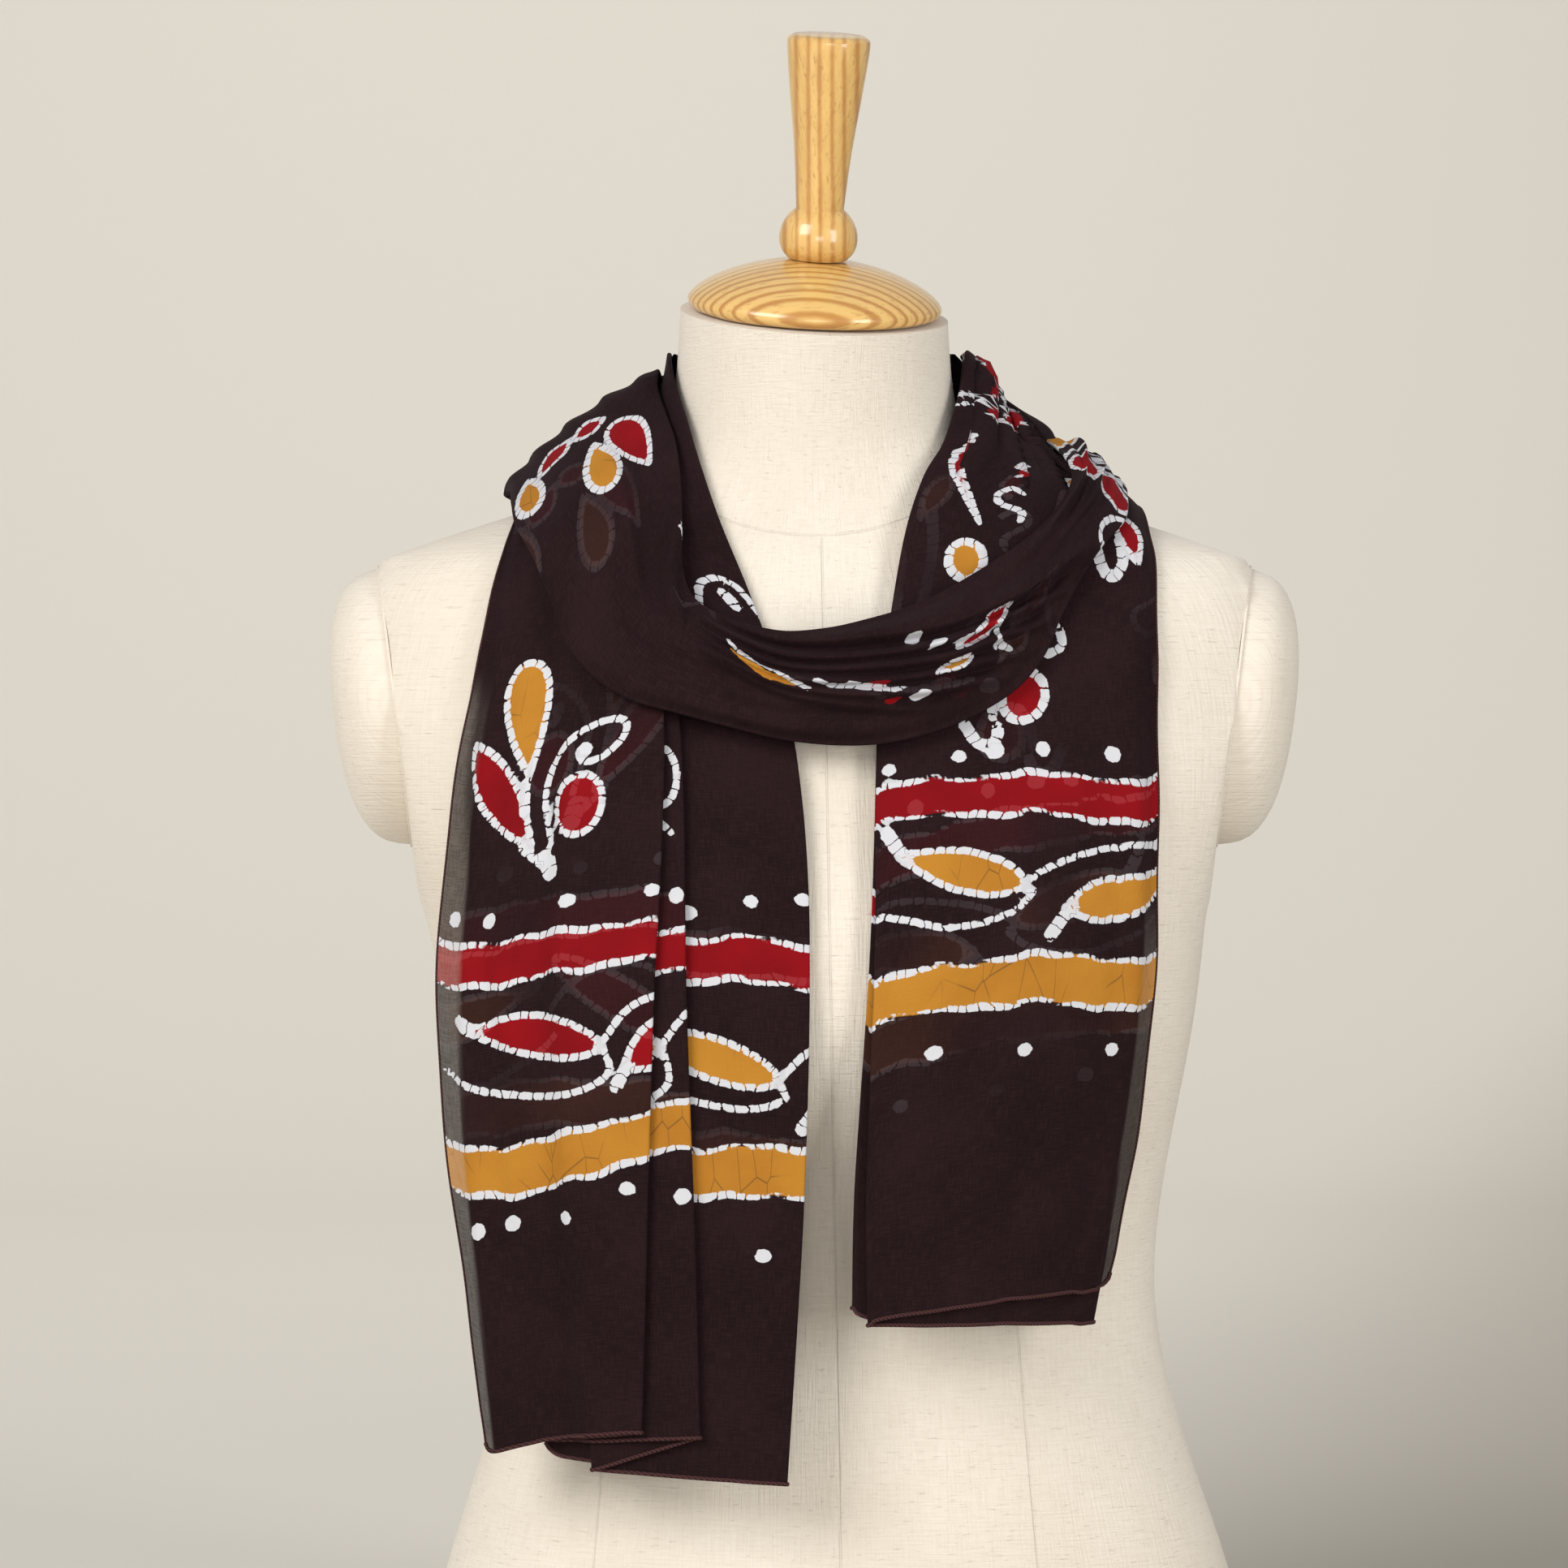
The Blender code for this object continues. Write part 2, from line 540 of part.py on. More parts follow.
def grid_faces(rows, columns):
    return [
        (r * columns + c, r * columns + c + 1, (r + 1) * columns + c + 1, (r + 1) * columns + c)
        for r in range(rows - 1)
        for c in range(columns - 1)
    ]


def cloth_piece(name, points, parts, surface):
    """A flat grid whose points are moved to the folded shape, with a wall."""
    rows, columns = points.shape[:2]
    mesh = bmesh.new()
    bmesh.ops.create_grid(mesh, x_segments=columns - 1, y_segments=rows - 1, size=1.0)
    mesh.verts.ensure_lookup_table()
    for vertex, point in zip(mesh.verts, points.reshape(-1, 3)):
        vertex.co = Vector(point * MM)
    piece = finish(name, mesh, parts, surface)
    wall = piece.modifiers.new("wall", "SOLIDIFY")
    wall.thickness = WALL * MM
    wall.offset = 0.0
    return piece


def form_tree(form):
    """A search tree of the torso, in mm."""
    corners = [vertex.co / MM for vertex in form.data.vertices]
    return BVHTree.FromPolygons(corners, [face.vertices[:] for face in form.data.polygons])


def main():
    for found in list(bpy.data.objects):
        bpy.data.objects.remove(found, do_unlink=True)
    parts = new_collection("Stole on a dress form")
    canvas = material("canvas", CANVAS, 0.9)
    wood = material("wood", WOOD, 0.35, 0.5)
    cloth = material("batik_cotton", CLOTH, 0.85)

    form = build_form(parts, canvas)
    build_arm_pad("form_arm_pad_left", -1.0, parts, canvas)
    build_arm_pad("form_arm_pad_right", 1.0, parts, canvas)
    build_turned("neck_cap", CAP_PROFILE, parts, wood)
    build_turned("handle", HANDLE_PROFILE, parts, wood)

    body = form_tree(form)
    tail_left = folded_tail(TAIL_LEFT, LAYERS_LEFT, FAN_LEFT, [body])
    tail_right = folded_tail(TAIL_RIGHT, LAYERS_RIGHT, FAN_RIGHT, [body])
    under = gathered_band(NECK_BACK_UNDER, BACK_STATIONS, BACK_POINTS, [body])
    lower = [body, tree_of(tail_left), tree_of(tail_right), tree_of(under)]
    loop = gathered_band(FRONT_LOOP, RING_STATIONS, RING_POINTS, lower)
    over = gathered_band(NECK_BACK_OVER, BACK_STATIONS, RING_POINTS, lower)
    for name, points in (
        ("tail_left", tail_left),
        ("tail_right", tail_right),
        ("neck_back_under", under),
        ("front_loop", loop),
        ("neck_back_over", over),
    ):
        cloth_piece(name, points, parts, cloth)


main()
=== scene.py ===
# %% [markdown]
# # A cotton stole on a dress form
# A long, thin batik stole is wound once round the neck of a limbless canvas dress form.
# Its solids are already made and packed, with every size fixed. This lesson dresses them:
# each soft piece gets a finer shape on its solid's form, and each surface gets its finish.
# The frame comes first, because every piece below is placed by it.

# %% Load the solids and keep their box
import math

import bpy
import numpy as np
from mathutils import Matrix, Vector
from mathutils.bvhtree import BVHTree


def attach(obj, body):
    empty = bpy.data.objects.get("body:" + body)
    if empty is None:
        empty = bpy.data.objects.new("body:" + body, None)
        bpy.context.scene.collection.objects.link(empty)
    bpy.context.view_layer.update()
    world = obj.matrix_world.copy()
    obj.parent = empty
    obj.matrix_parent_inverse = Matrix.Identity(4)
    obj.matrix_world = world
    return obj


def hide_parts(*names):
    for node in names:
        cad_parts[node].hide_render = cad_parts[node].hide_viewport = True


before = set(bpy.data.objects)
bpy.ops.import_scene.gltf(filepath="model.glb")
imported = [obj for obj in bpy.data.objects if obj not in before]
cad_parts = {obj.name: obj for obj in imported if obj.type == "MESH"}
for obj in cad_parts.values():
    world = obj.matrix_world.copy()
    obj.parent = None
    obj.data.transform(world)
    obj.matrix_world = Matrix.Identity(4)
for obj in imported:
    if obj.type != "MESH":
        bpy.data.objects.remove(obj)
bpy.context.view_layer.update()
MM = 0.001
print("solids:", sorted(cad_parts))

# %% [markdown]
# ## Small helpers
# Operators act on whatever is selected, and the solids arrive selected. So everything is
# deselected before each step, and one piece is picked by name.


# %% Select one piece, and apply its modifiers
def pick(piece):
    """Leaves one piece selected and active, in object mode."""
    if bpy.context.mode != "OBJECT":
        bpy.ops.object.mode_set(mode="OBJECT")
    bpy.ops.object.select_all(action="DESELECT")
    piece.select_set(True)
    bpy.context.view_layer.objects.active = piece


def apply_all(piece):
    """Applies every modifier of a piece, in order."""
    pick(piece)
    for modifier in list(piece.modifiers):
        bpy.ops.object.modifier_apply(modifier=modifier.name)


def faces_of(piece):
    return len(piece.data.polygons)


# %% [markdown]
# ## Helpers for finishes
# A finish is a small graph of shader nodes. These helpers keep the graphs short: they add a
# node and link its inputs, do arithmetic, mix two colours, and make noise and bump.


# %% Shader node helpers
class Finish:
    """A material under construction."""

    def __init__(self, name):
        self.material = bpy.data.materials.new(name)
        self.material.use_nodes = True
        self.tree = self.material.node_tree
        self.shader = self.tree.nodes["Principled BSDF"]

    def node(self, kind, settings=None, **inputs):
        """Adds a node; inputs are given by socket name, spaces written as _."""
        made = self.tree.nodes.new("ShaderNode" + kind)
        for key, value in (settings or {}).items():
            setattr(made, key, value)
        for key, value in inputs.items():
            self.plug(made.inputs[key.replace("_", " ")], value)
        return made

    def plug(self, socket, value):
        if isinstance(value, bpy.types.NodeSocket):
            self.tree.links.new(value, socket)
        else:
            socket.default_value = value

    def math(self, operation, first, second=0.0, third=0.0):
        made = self.tree.nodes.new("ShaderNodeMath")
        made.operation = operation
        for socket, value in zip(made.inputs, (first, second, third)):
            self.plug(socket, value)
        return made.outputs[0]

    def ramp(self, value, low, high, to_low=0.0, to_high=1.0):
        """Goes smoothly from to_low to to_high as the value goes from low to high."""
        made = self.tree.nodes.new("ShaderNodeMapRange")
        made.interpolation_type = "SMOOTHSTEP"
        for socket, given in zip(made.inputs, (value, low, high, to_low, to_high)):
            self.plug(socket, given)
        return made.outputs[0]

    def mix(self, share, first, second):
        made = self.tree.nodes.new("ShaderNodeMix")
        made.data_type = "RGBA"
        self.plug(made.inputs[0], share)
        for socket, colour in ((made.inputs[6], first), (made.inputs[7], second)):
            self.plug(socket, (*colour, 1.0) if isinstance(colour, tuple) else colour)
        return made.outputs[2]

    def stretched(self, source, scale):
        """Coordinates scaled along each axis, for stretched noise."""
        made = self.node("Mapping", Vector=source)
        made.inputs["Scale"].default_value = scale
        return made.outputs[0]

    def noise(self, source, scale, detail=2.0, roughness=0.5):
        made = self.node("TexNoise", Vector=source, Scale=scale, Detail=detail, Roughness=roughness)
        return made.outputs["Fac"]

    def bump(self, height, strength, distance):
        made = self.node("Bump", Height=height, Strength=strength, Distance=distance)
        self.plug(self.shader.inputs["Normal"], made.outputs[0])


print("helpers ready")

# %% [markdown]
# ## Camera, floor and light
# The product photo was taken level, from straight in front and about 2.4 m away, with a long
# lens, so the form's sides hardly converge. A sheet of pale paper curves up well behind the
# form, so that a camera has room to go round it. A large soft lamp stands on the upper left,
# with weaker ones on the right and in front, and one more lights the paper.

# %% Camera
SCALE_AT_FORM = 0.345 * MM  # metres of the object for each pixel of the photo
PHOTO_PIXELS = 1932
CAMERA = {"x": -0.0128, "distance": 2.4, "height": 0.384}
SENSOR = 36.0  # mm

bpy.ops.object.select_all(action="DESELECT")
bpy.ops.object.camera_add(location=(CAMERA["x"], -CAMERA["distance"], CAMERA["height"]))
camera = bpy.context.object
camera.rotation_euler = (math.radians(90.0), 0.0, 0.0)
camera.data.sensor_width = SENSOR
camera.data.lens = SENSOR * CAMERA["distance"] / (SCALE_AT_FORM * PHOTO_PIXELS)
camera.data.clip_end = 50.0
bpy.context.scene.camera = camera
print("lens", round(camera.data.lens, 1), "mm")

# %% Floor: one sheet of pale paper that curves up into a wall
FLOOR = {"side": 8.0, "bend_start": 2.7, "bend_radius": 1.8, "rise": 3.0, "steps": 24}
FLOOR_BELOW = 0.0005  # how far the paper lies under the form's base
# the paper's second colour is a painted shade, which the paper takes towards its lower right
PAPER = {"lit": (0.745, 0.71, 0.635), "painted_shade": (0.43, 0.40, 0.345), "blend": 0.35}
bpy.ops.mesh.primitive_plane_add(size=FLOOR["side"], location=(0.0, 0.0, -FLOOR_BELOW))
floor = bpy.context.object
floor.name = "studio_floor"
bpy.ops.object.mode_set(mode="EDIT")
bpy.ops.mesh.select_all(action="DESELECT")
bpy.ops.object.mode_set(mode="OBJECT")
for corner in floor.data.vertices:
    if corner.co.y > 0.0:
        corner.co.y = FLOOR["bend_start"]
for edge in floor.data.edges:
    edge.select = all(floor.data.vertices[i].co.y > 0.0 for i in edge.vertices)
bpy.ops.object.mode_set(mode="EDIT")
bpy.ops.mesh.select_mode(type="EDGE")
bpy.ops.mesh.spin(
    steps=FLOOR["steps"],
    angle=math.radians(-90.0),
    center=(0.0, FLOOR["bend_start"], FLOOR["bend_radius"]),
    axis=(1.0, 0.0, 0.0),
)
bpy.ops.mesh.extrude_edges_move(TRANSFORM_OT_translate={"value": (0.0, 0.0, FLOOR["rise"])})
bpy.ops.object.mode_set(mode="OBJECT")
bpy.ops.object.shade_smooth()
bpy.ops.object.transform_apply(location=True, rotation=True, scale=True)
paper = Finish("pale_paper")
spot = paper.node("SeparateXYZ", Vector=paper.node("TexCoord").outputs["Object"]).outputs
# Painted shade: the paper's colour goes from its lit tone to a darker one towards the lower right, by Object
# coordinates.
corner = paper.math("SUBTRACT", spot[0], paper.math("MULTIPLY_ADD", spot[1], 0.25, spot[2]))
paper.plug(
    paper.shader.inputs["Base Color"],
    paper.mix(paper.ramp(corner, -PAPER["blend"], PAPER["blend"]), PAPER["lit"], PAPER["painted_shade"]),
)
paper.shader.inputs["Roughness"].default_value = 0.9
floor.data.materials.append(paper.material)
print("floor faces", faces_of(floor))

# %% Lamps
LAMPS = (  # name, place, where it points, size in metres, watts
    ("window", (-1.9, -2.2, 1.9), (0.0, 0.0, 0.36), (1.7, 1.7), 73.0),
    ("fill", (1.9, -2.0, 0.6), (0.0, 0.0, 0.36), (0.7, 2.2), 42.0),
    ("front", (0.15, -3.2, 0.3), (0.0, 0.0, 0.36), (1.2, 0.8), 17.0),
    ("wall", (-0.3, 1.6, 3.0), (0.0, 4.4, 1.4), (1.6, 1.6), 40.0),
)
LAMP_COLOUR = (1.0, 0.985, 0.96)
AMBIENT = {"colour": (0.9, 0.9, 0.92, 1.0), "strength": 0.48}

for name, place, aim, size, watts in LAMPS:
    bpy.ops.object.light_add(type="AREA", location=place)
    lamp = bpy.context.object
    lamp.name = name
    lamp.data.shape = "RECTANGLE"
    (lamp.data.size, lamp.data.size_y), lamp.data.energy = size, watts
    lamp.data.color = LAMP_COLOUR
    lamp.rotation_euler = (Vector(aim) - Vector(place)).to_track_quat("-Z", "Y").to_euler()
world = bpy.context.scene.world or bpy.data.worlds.new("studio")
bpy.context.scene.world = world
world.use_nodes = True
background = world.node_tree.nodes["Background"]
background.inputs["Color"].default_value = AMBIENT["colour"]
background.inputs["Strength"].default_value = AMBIENT["strength"]
bpy.context.scene.view_settings.view_transform = "Standard"
print("lamps", len(LAMPS))

# %% [markdown]
# ## The canvas form
# A dress form is a stuffed or hollow torso under a tight cover of unbleached canvas, sewn from
# long shaped panels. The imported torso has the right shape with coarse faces, so a copy of it
# is merged, its sharp rims are creased, and a Subdivision Surface modifier rounds the rest.
# The pads over the cut-off arms and the turned wooden pieces are refined in the same way.


# %% Refine a copy of a solid
MERGE = 0.00002  # metres between corners that become one
QUAD_BEND, QUAD_SKEW = 50.0, 60.0  # degrees two triangles may differ by and still join
SMOOTH_BELOW = 40.0  # degrees between faces that are shaded as one surface


def refined_copy(node, name, levels, sharp=34.0):
    """A finer copy of a solid: merged, creased where it is sharp, and subdivided."""
    source = bpy.data.objects[node]
    made = bpy.data.objects.new(name, source.data.copy())
    bpy.context.scene.collection.objects.link(made)
    made.data.materials.clear()
    pick(made)
    bpy.ops.mesh.customdata_custom_splitnormals_clear()
    bpy.ops.object.mode_set(mode="EDIT")
    bpy.ops.mesh.select_all(action="SELECT")
    bpy.ops.mesh.remove_doubles(threshold=MERGE)
    bpy.ops.mesh.tris_convert_to_quads(
        face_threshold=math.radians(QUAD_BEND), shape_threshold=math.radians(QUAD_SKEW)
    )
    bpy.ops.mesh.select_all(action="DESELECT")
    bpy.ops.mesh.select_mode(type="EDGE")
    bpy.ops.mesh.edges_select_sharp(sharpness=math.radians(sharp))
    bpy.ops.transform.edge_crease(value=1.0)
    bpy.ops.object.mode_set(mode="OBJECT")
    rounder = made.modifiers.new("rounder", "SUBSURF")
    rounder.levels = rounder.render_levels = levels
    apply_all(made)
    bpy.ops.object.shade_smooth_by_angle(angle=math.radians(SMOOTH_BELOW), keep_sharp_edges=False)
    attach(made, "root")
    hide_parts(node)
    print(name, faces_of(made), "faces")
    return made


torso = refined_copy("form_torso", "canvas_torso", 2)
pads = [
    refined_copy("form_arm_pad_left", "canvas_arm_pad_left", 1),
    refined_copy("form_arm_pad_right", "canvas_arm_pad_right", 1),
]
cap = refined_copy("neck_cap", "wooden_neck_cap", 1, sharp=60.0)
handle = refined_copy("handle", "wooden_handle", 1)
for piece in (torso, *pads, cap, handle):
    corners = np.array([corner.co[:] for corner in piece.data.vertices])
    print(piece.name, corners.min(axis=0).round(4), corners.max(axis=0).round(4))

# %% [markdown]
# ### Canvas
# Real canvas shows three things at this distance: a fine crossed weave with slubs where the
# yarn is thick, faint fawn flecks, and the seams between its panels. The weave needs
# coordinates that follow the cloth, so each canvas piece gets a UV map in metres, measured
# round the form and up it. The seams are drawn from the same Object coordinates on all the
# pieces, as thin troughs.

# %% A UV map in metres, round and up
WEAVE_RADIUS = 0.13  # the form's mean radius, so that yarns have about one size all round


def wrap_uv(piece):
    """Stores how far round (u) and how far up (v) each corner is, in metres."""
    layer = piece.data.uv_layers.new(name="canvas")
    mesh = piece.data
    for face in mesh.polygons:
        turns = []
        for loop in face.loop_indices:
            spot = mesh.vertices[mesh.loops[loop].vertex_index].co
            turns.append(math.atan2(spot.x, -spot.y))
        if max(turns) - min(turns) > math.pi:
            turns = [turn + 2.0 * math.pi if turn < 0.0 else turn for turn in turns]
        for loop, turn in zip(face.loop_indices, turns):
            height = mesh.vertices[mesh.loops[loop].vertex_index].co.z
            layer.data[loop].uv = (turn * WEAVE_RADIUS, height)


def side_uv(piece, layer):
    """Stores how far back (u) and how far up (v) each corner is, for a piece seen from the side."""
    for loop in piece.data.loops:
        spot = piece.data.vertices[loop.vertex_index].co
        layer.data[loop.index].uv = (spot.y, spot.z)


wrap_uv(torso)
for pad in pads:
    side_uv(pad, pad.data.uv_layers.new(name="canvas"))
print("canvas maps made")

# %% The canvas finish
CANVAS = {"ground": (0.80, 0.735, 0.64), "shade": (0.72, 0.65, 0.55), "fleck": (0.50, 0.41, 0.30),
          "yarn": (0.62, 0.54, 0.43)}
YARN = 0.00085  # metres from one yarn to the next
SEAM_HALF = 0.0003
SEAMS = {  # where the panels meet, in metres
    "centre": 0.0115, "centre_lean": -0.018, "side": 0.004,
    "princess": 0.082, "princess_bow": 0.085, "waist": 0.17,
    "neck": 0.505, "neck_fall": 0.26, "neck_bow": 4.0,
}

canvas = Finish("canvas")
uv = canvas.node("UVMap", {"uv_map": "canvas"}).outputs[0]
place = canvas.node("TexCoord").outputs["Object"]
warp = canvas.noise(canvas.stretched(uv, (1.0 / YARN, 60.0, 1.0)), 1.0, 2.0)
weft = canvas.noise(canvas.stretched(uv, (60.0, 1.0 / YARN, 1.0)), 1.0, 2.0)
weave = canvas.math("MULTIPLY", canvas.math("ADD", warp, weft), 0.5)
slubs = canvas.ramp(canvas.noise(canvas.stretched(uv, (160.0, 900.0, 1.0)), 1.0, 3.0), 0.60, 0.78)
blotch = canvas.noise(place, 9.0, 3.0)
fleck = canvas.ramp(canvas.noise(place, 620.0, 1.0), 0.80, 0.86)


def seam(finish, distance):
    """A mask that is 1 on a seam's line and 0 away from it, from a signed distance."""
    return finish.ramp(finish.math("ABSOLUTE", distance), SEAM_HALF * 0.4, SEAM_HALF * 2.2, 1.0, 0.0)


apart = canvas.node("SeparateXYZ", Vector=place)
x, y, z = apart.outputs
centre = canvas.math(
    "SUBTRACT", x, canvas.math("MULTIPLY_ADD", z, SEAMS["centre_lean"], SEAMS["centre"])
)
side_bow = canvas.math("ABSOLUTE", canvas.math("SUBTRACT", z, SEAMS["waist"]))
princess_at = canvas.math("MULTIPLY_ADD", side_bow, SEAMS["princess_bow"], SEAMS["princess"])
princess = canvas.math("SUBTRACT", canvas.math("ABSOLUTE", x), princess_at)
neck_height = canvas.math("MULTIPLY_ADD", y, SEAMS["neck_fall"], SEAMS["neck"])
neck_bow = canvas.math("MULTIPLY_ADD", canvas.math("MULTIPLY", x, x), SEAMS["neck_bow"], neck_height)
neck = canvas.math("SUBTRACT", z, neck_bow)
above_neck = canvas.ramp(neck, -0.0012, -0.0008)
below_neck = canvas.math("SUBTRACT", 1.0, above_neck)
upright = canvas.math(
    "MAXIMUM",
    seam(canvas, centre),
    canvas.math("MAXIMUM", seam(canvas, princess), seam(canvas, canvas.math("ADD", y, SEAMS["side"]))),
)
seams = canvas.math("MAXIMUM", canvas.math("MULTIPLY", upright, below_neck), seam(canvas, neck))
tint = canvas.mix(canvas.ramp(blotch, 0.3, 0.75), CANVAS["ground"], CANVAS["shade"])
tint = canvas.mix(canvas.ramp(weave, 0.40, 0.62, 0.0, 0.26), tint, CANVAS["yarn"])
tint = canvas.mix(canvas.math("MULTIPLY", slubs, 0.12), tint, CANVAS["fleck"])
tint = canvas.mix(canvas.math("MULTIPLY", fleck, 0.45), tint, CANVAS["fleck"])
tint = canvas.mix(canvas.math("MULTIPLY", seams, 0.12), tint, CANVAS["fleck"])
canvas.plug(canvas.shader.inputs["Base Color"], tint)
canvas.shader.inputs["Roughness"].default_value = 0.92
canvas.shader.inputs["Sheen Weight"].default_value = 0.15
relief = canvas.math("SUBTRACT", weave, canvas.math("MULTIPLY", seams, 0.45))
canvas.bump(canvas.math("MULTIPLY_ADD", slubs, 0.3, relief), 0.9, 0.0008)
for piece in (torso, *pads):
    piece.data.materials.append(canvas.material)
print("canvas nodes", len(canvas.tree.nodes))

# %% [markdown]
# ### Armhole welts
# Where the cover is sewn round each arm pad, the turned-in allowance makes a soft welt. It is
# a thin ring that hugs the pad's rim: a torus squeezed to the rim's egg shape and leaned
# into the armhole's plane.

# %% Two armhole welts
ARMHOLE = {"x": 0.1783, "z": 0.417, "lean": 7.0, "turn": 4.0, "deep": 0.0539, "high": 0.0598, "thick": 0.0006}


def armhole_welt(name, side):
    bpy.ops.object.select_all(action="DESELECT")
    bpy.ops.mesh.primitive_torus_add(
        major_radius=1.0, minor_radius=ARMHOLE["thick"] / ARMHOLE["high"],
        major_segments=96, minor_segments=10,
    )
    welt = bpy.context.object
    welt.name = name
    welt.scale = (ARMHOLE["high"], ARMHOLE["deep"], ARMHOLE["high"])
    lean, turn = math.radians(90.0 + ARMHOLE["lean"]), math.radians(ARMHOLE["turn"])
    welt.rotation_euler = (0.0, side * lean, -side * turn)
    welt.location = (side * ARMHOLE["x"], 0.0, ARMHOLE["z"])
    bpy.ops.object.transform_apply(location=True, rotation=True, scale=True)
    bpy.ops.object.shade_smooth()
    layer = welt.data.uv_layers.new(name="canvas") if not welt.data.uv_layers else welt.data.uv_layers[0]
    layer.name = "canvas"
    side_uv(welt, layer)
    welt.data.materials.append(canvas.material)
    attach(welt, "root")
    return welt


welts = [armhole_welt("armhole_welt_left", -1.0), armhole_welt("armhole_welt_right", 1.0)]
print("welts", len(welts))

# %% [markdown]
# ### Lacquered wood
# The cap and handle are turned from pale hardwood under clear lacquer. Grain is stretched
# noise: long streaks up the handle, and long curved growth rings across the flat cap. The
# lacquer is the shader's own coat, with small ripples.


# %% The wood finish
WOOD = {
    "pale": (0.74, 0.475, 0.155), "ring": (0.49, 0.23, 0.052),
    "pore": (0.36, 0.155, 0.038), "end": (0.33, 0.15, 0.045),
}


def lacquered(name, stretch, axis, bands, warp_scale, ring_share, end_grain):
    """Wood with streaks along its grain and bands where growth rings meet the surface."""
    wood = Finish(name)
    place = wood.node("TexCoord").outputs["Object"]
    streak = wood.noise(wood.stretched(place, stretch), 1.0, 5.0, 0.65)
    fine = wood.noise(wood.stretched(place, tuple(3.0 * part for part in stretch)), 1.0, 3.0, 0.6)
    rings = wood.node(
        "TexWave", {"wave_type": "BANDS", "bands_direction": axis}, Vector=wood.stretched(place, bands),
        Scale=1.0, Distortion=4.0, Detail=3.0, Detail_Scale=warp_scale, Detail_Roughness=0.6,
    ).outputs["Fac"]
    line = wood.math("POWER", rings, 2.5)
    tone = wood.math("MULTIPLY_ADD", line, ring_share, wood.math("MULTIPLY", streak, 1.0 - ring_share))
    colour = wood.mix(wood.ramp(tone, 0.18, 0.80), WOOD["pale"], WOOD["ring"])
    colour = wood.mix(wood.ramp(fine, 0.52, 0.72, 0.0, 0.5), colour, WOOD["pore"])
    height = wood.node("SeparateXYZ", Vector=place).outputs[2]
    colour = wood.mix(wood.ramp(height, *end_grain, 0.0, 0.65), colour, WOOD["end"])
    wood.plug(wood.shader.inputs["Base Color"], colour)
    wood.shader.inputs["Roughness"].default_value = 0.30
    wood.shader.inputs["Coat Weight"].default_value = 0.7
    wood.shader.inputs["Coat Roughness"].default_value = 0.10
    wood.bump(fine, 0.10, 0.0003)
    return wood


NO_END_GRAIN = (1.0, 2.0)  # metres, higher than the piece

cap_wood = lacquered("wood_cap", (25.0, 240.0, 240.0), "Y", (4.0, 60.0, 30.0), 0.6, 0.60, NO_END_GRAIN)
handle_wood = lacquered(
    "wood_handle", (260.0, 260.0, 7.0), "X", (60.0, 20.0, 1.0), 0.5, 0.38, (0.6975, 0.6985)
)
for piece, finish in ((cap, cap_wood), (handle, handle_wood)):
    piece.data.materials.append(finish.material)
print("wood ready")

# %% [markdown]
# ## The stole: how it lies
# The real stole is one thin cotton cloth, folded lengthwise. It goes behind the neck, falls as
# a tail on each side of the chest, and makes one loop in front, over both tails. A simulation
# could drape it, but it wouldn't stop at these pleats. So each stretch that shows is laid one by
# one: a short table says where its two long edges run, a second one says how its width is
# folded, and a third one adds its creases. The tables repeat the solids' own sizes.

# %% Sizes of the folded cloth, in mm
PITCH = 1.9  # from one folded layer to the next
CLEAR = 3.0  # from the canvas to the nearest layer
LAYER_RAMP = 9.0  # how far past its edge a layer still lifts the ones above
SEAM_Y = 12.35  # the stretches meet along this upright plane, behind the shoulders' crest
SEAM_BLEND = 22.0
FRONT_END, BACK_END = 12.0, 12.7
NECK_FOOT = 465.0
EDGE_CURL = 4.0
THREAD_STEP = 1.7  # the finest spacing of the cloth's mesh


def smooth(value):
    value = np.clip(value, 0.0, 1.0)
    return value * value * (3.0 - 2.0 * value)


def follow(rows, count):
    """Rows of a table, or of a grid, followed smoothly at evenly spaced places."""
    rows = np.asarray(rows, dtype=float)
    places = np.linspace(0.0, len(rows) - 1.0, count)
    low = np.clip(places.astype(int), 0, len(rows) - 2)
    part = (places - low).reshape((-1,) + (1,) * (rows.ndim - 1))
    before = rows[np.maximum(low - 1, 0)]
    here, after = rows[low], rows[low + 1]
    beyond = rows[np.minimum(low + 2, len(rows) - 1)]
    return 0.5 * (
        2.0 * here
        + (after - before) * part
        + (2.0 * before - 5.0 * here + 4.0 * after - beyond) * part**2
        + (3.0 * here - before - 3.0 * after + beyond) * part**3
    )


print("thread step", THREAD_STEP, "mm")


# %% Normals, and lifting a stretch off what it lies on
def outward(grid):
    """Unit normals of a grid of points, on the side away from the neck's foot."""
    found = np.cross(np.gradient(grid, axis=1), np.gradient(grid, axis=0))
    found[..., 1] *= smooth(np.abs(grid[..., 1] - SEAM_Y) / SEAM_BLEND)
    found /= np.linalg.norm(found, axis=2, keepdims=True)
    away = grid - np.array([0.0, 0.0, NECK_FOOT])
    away[..., 2] = np.maximum(away[..., 2], 0.0)
    middle = grid.shape[0] // 2
    return found * (1.0 if np.sum(found[middle] * away[middle]) > 0.0 else -1.0)


def bed(table, stations, across):
    """The smooth surface that a stretch lies along, before its folds."""
    rows = follow(table, stations)
    share = np.linspace(0.0, 1.0, across)[None, :, None]
    grid = rows[:, None, 0:3] * (1.0 - share) + rows[:, None, 3:6] * share
    rise = rows[:, 6][:, None] * 4.0 * share[..., 0] * (1.0 - share[..., 0])
    return grid + outward(grid) * rise[..., None]


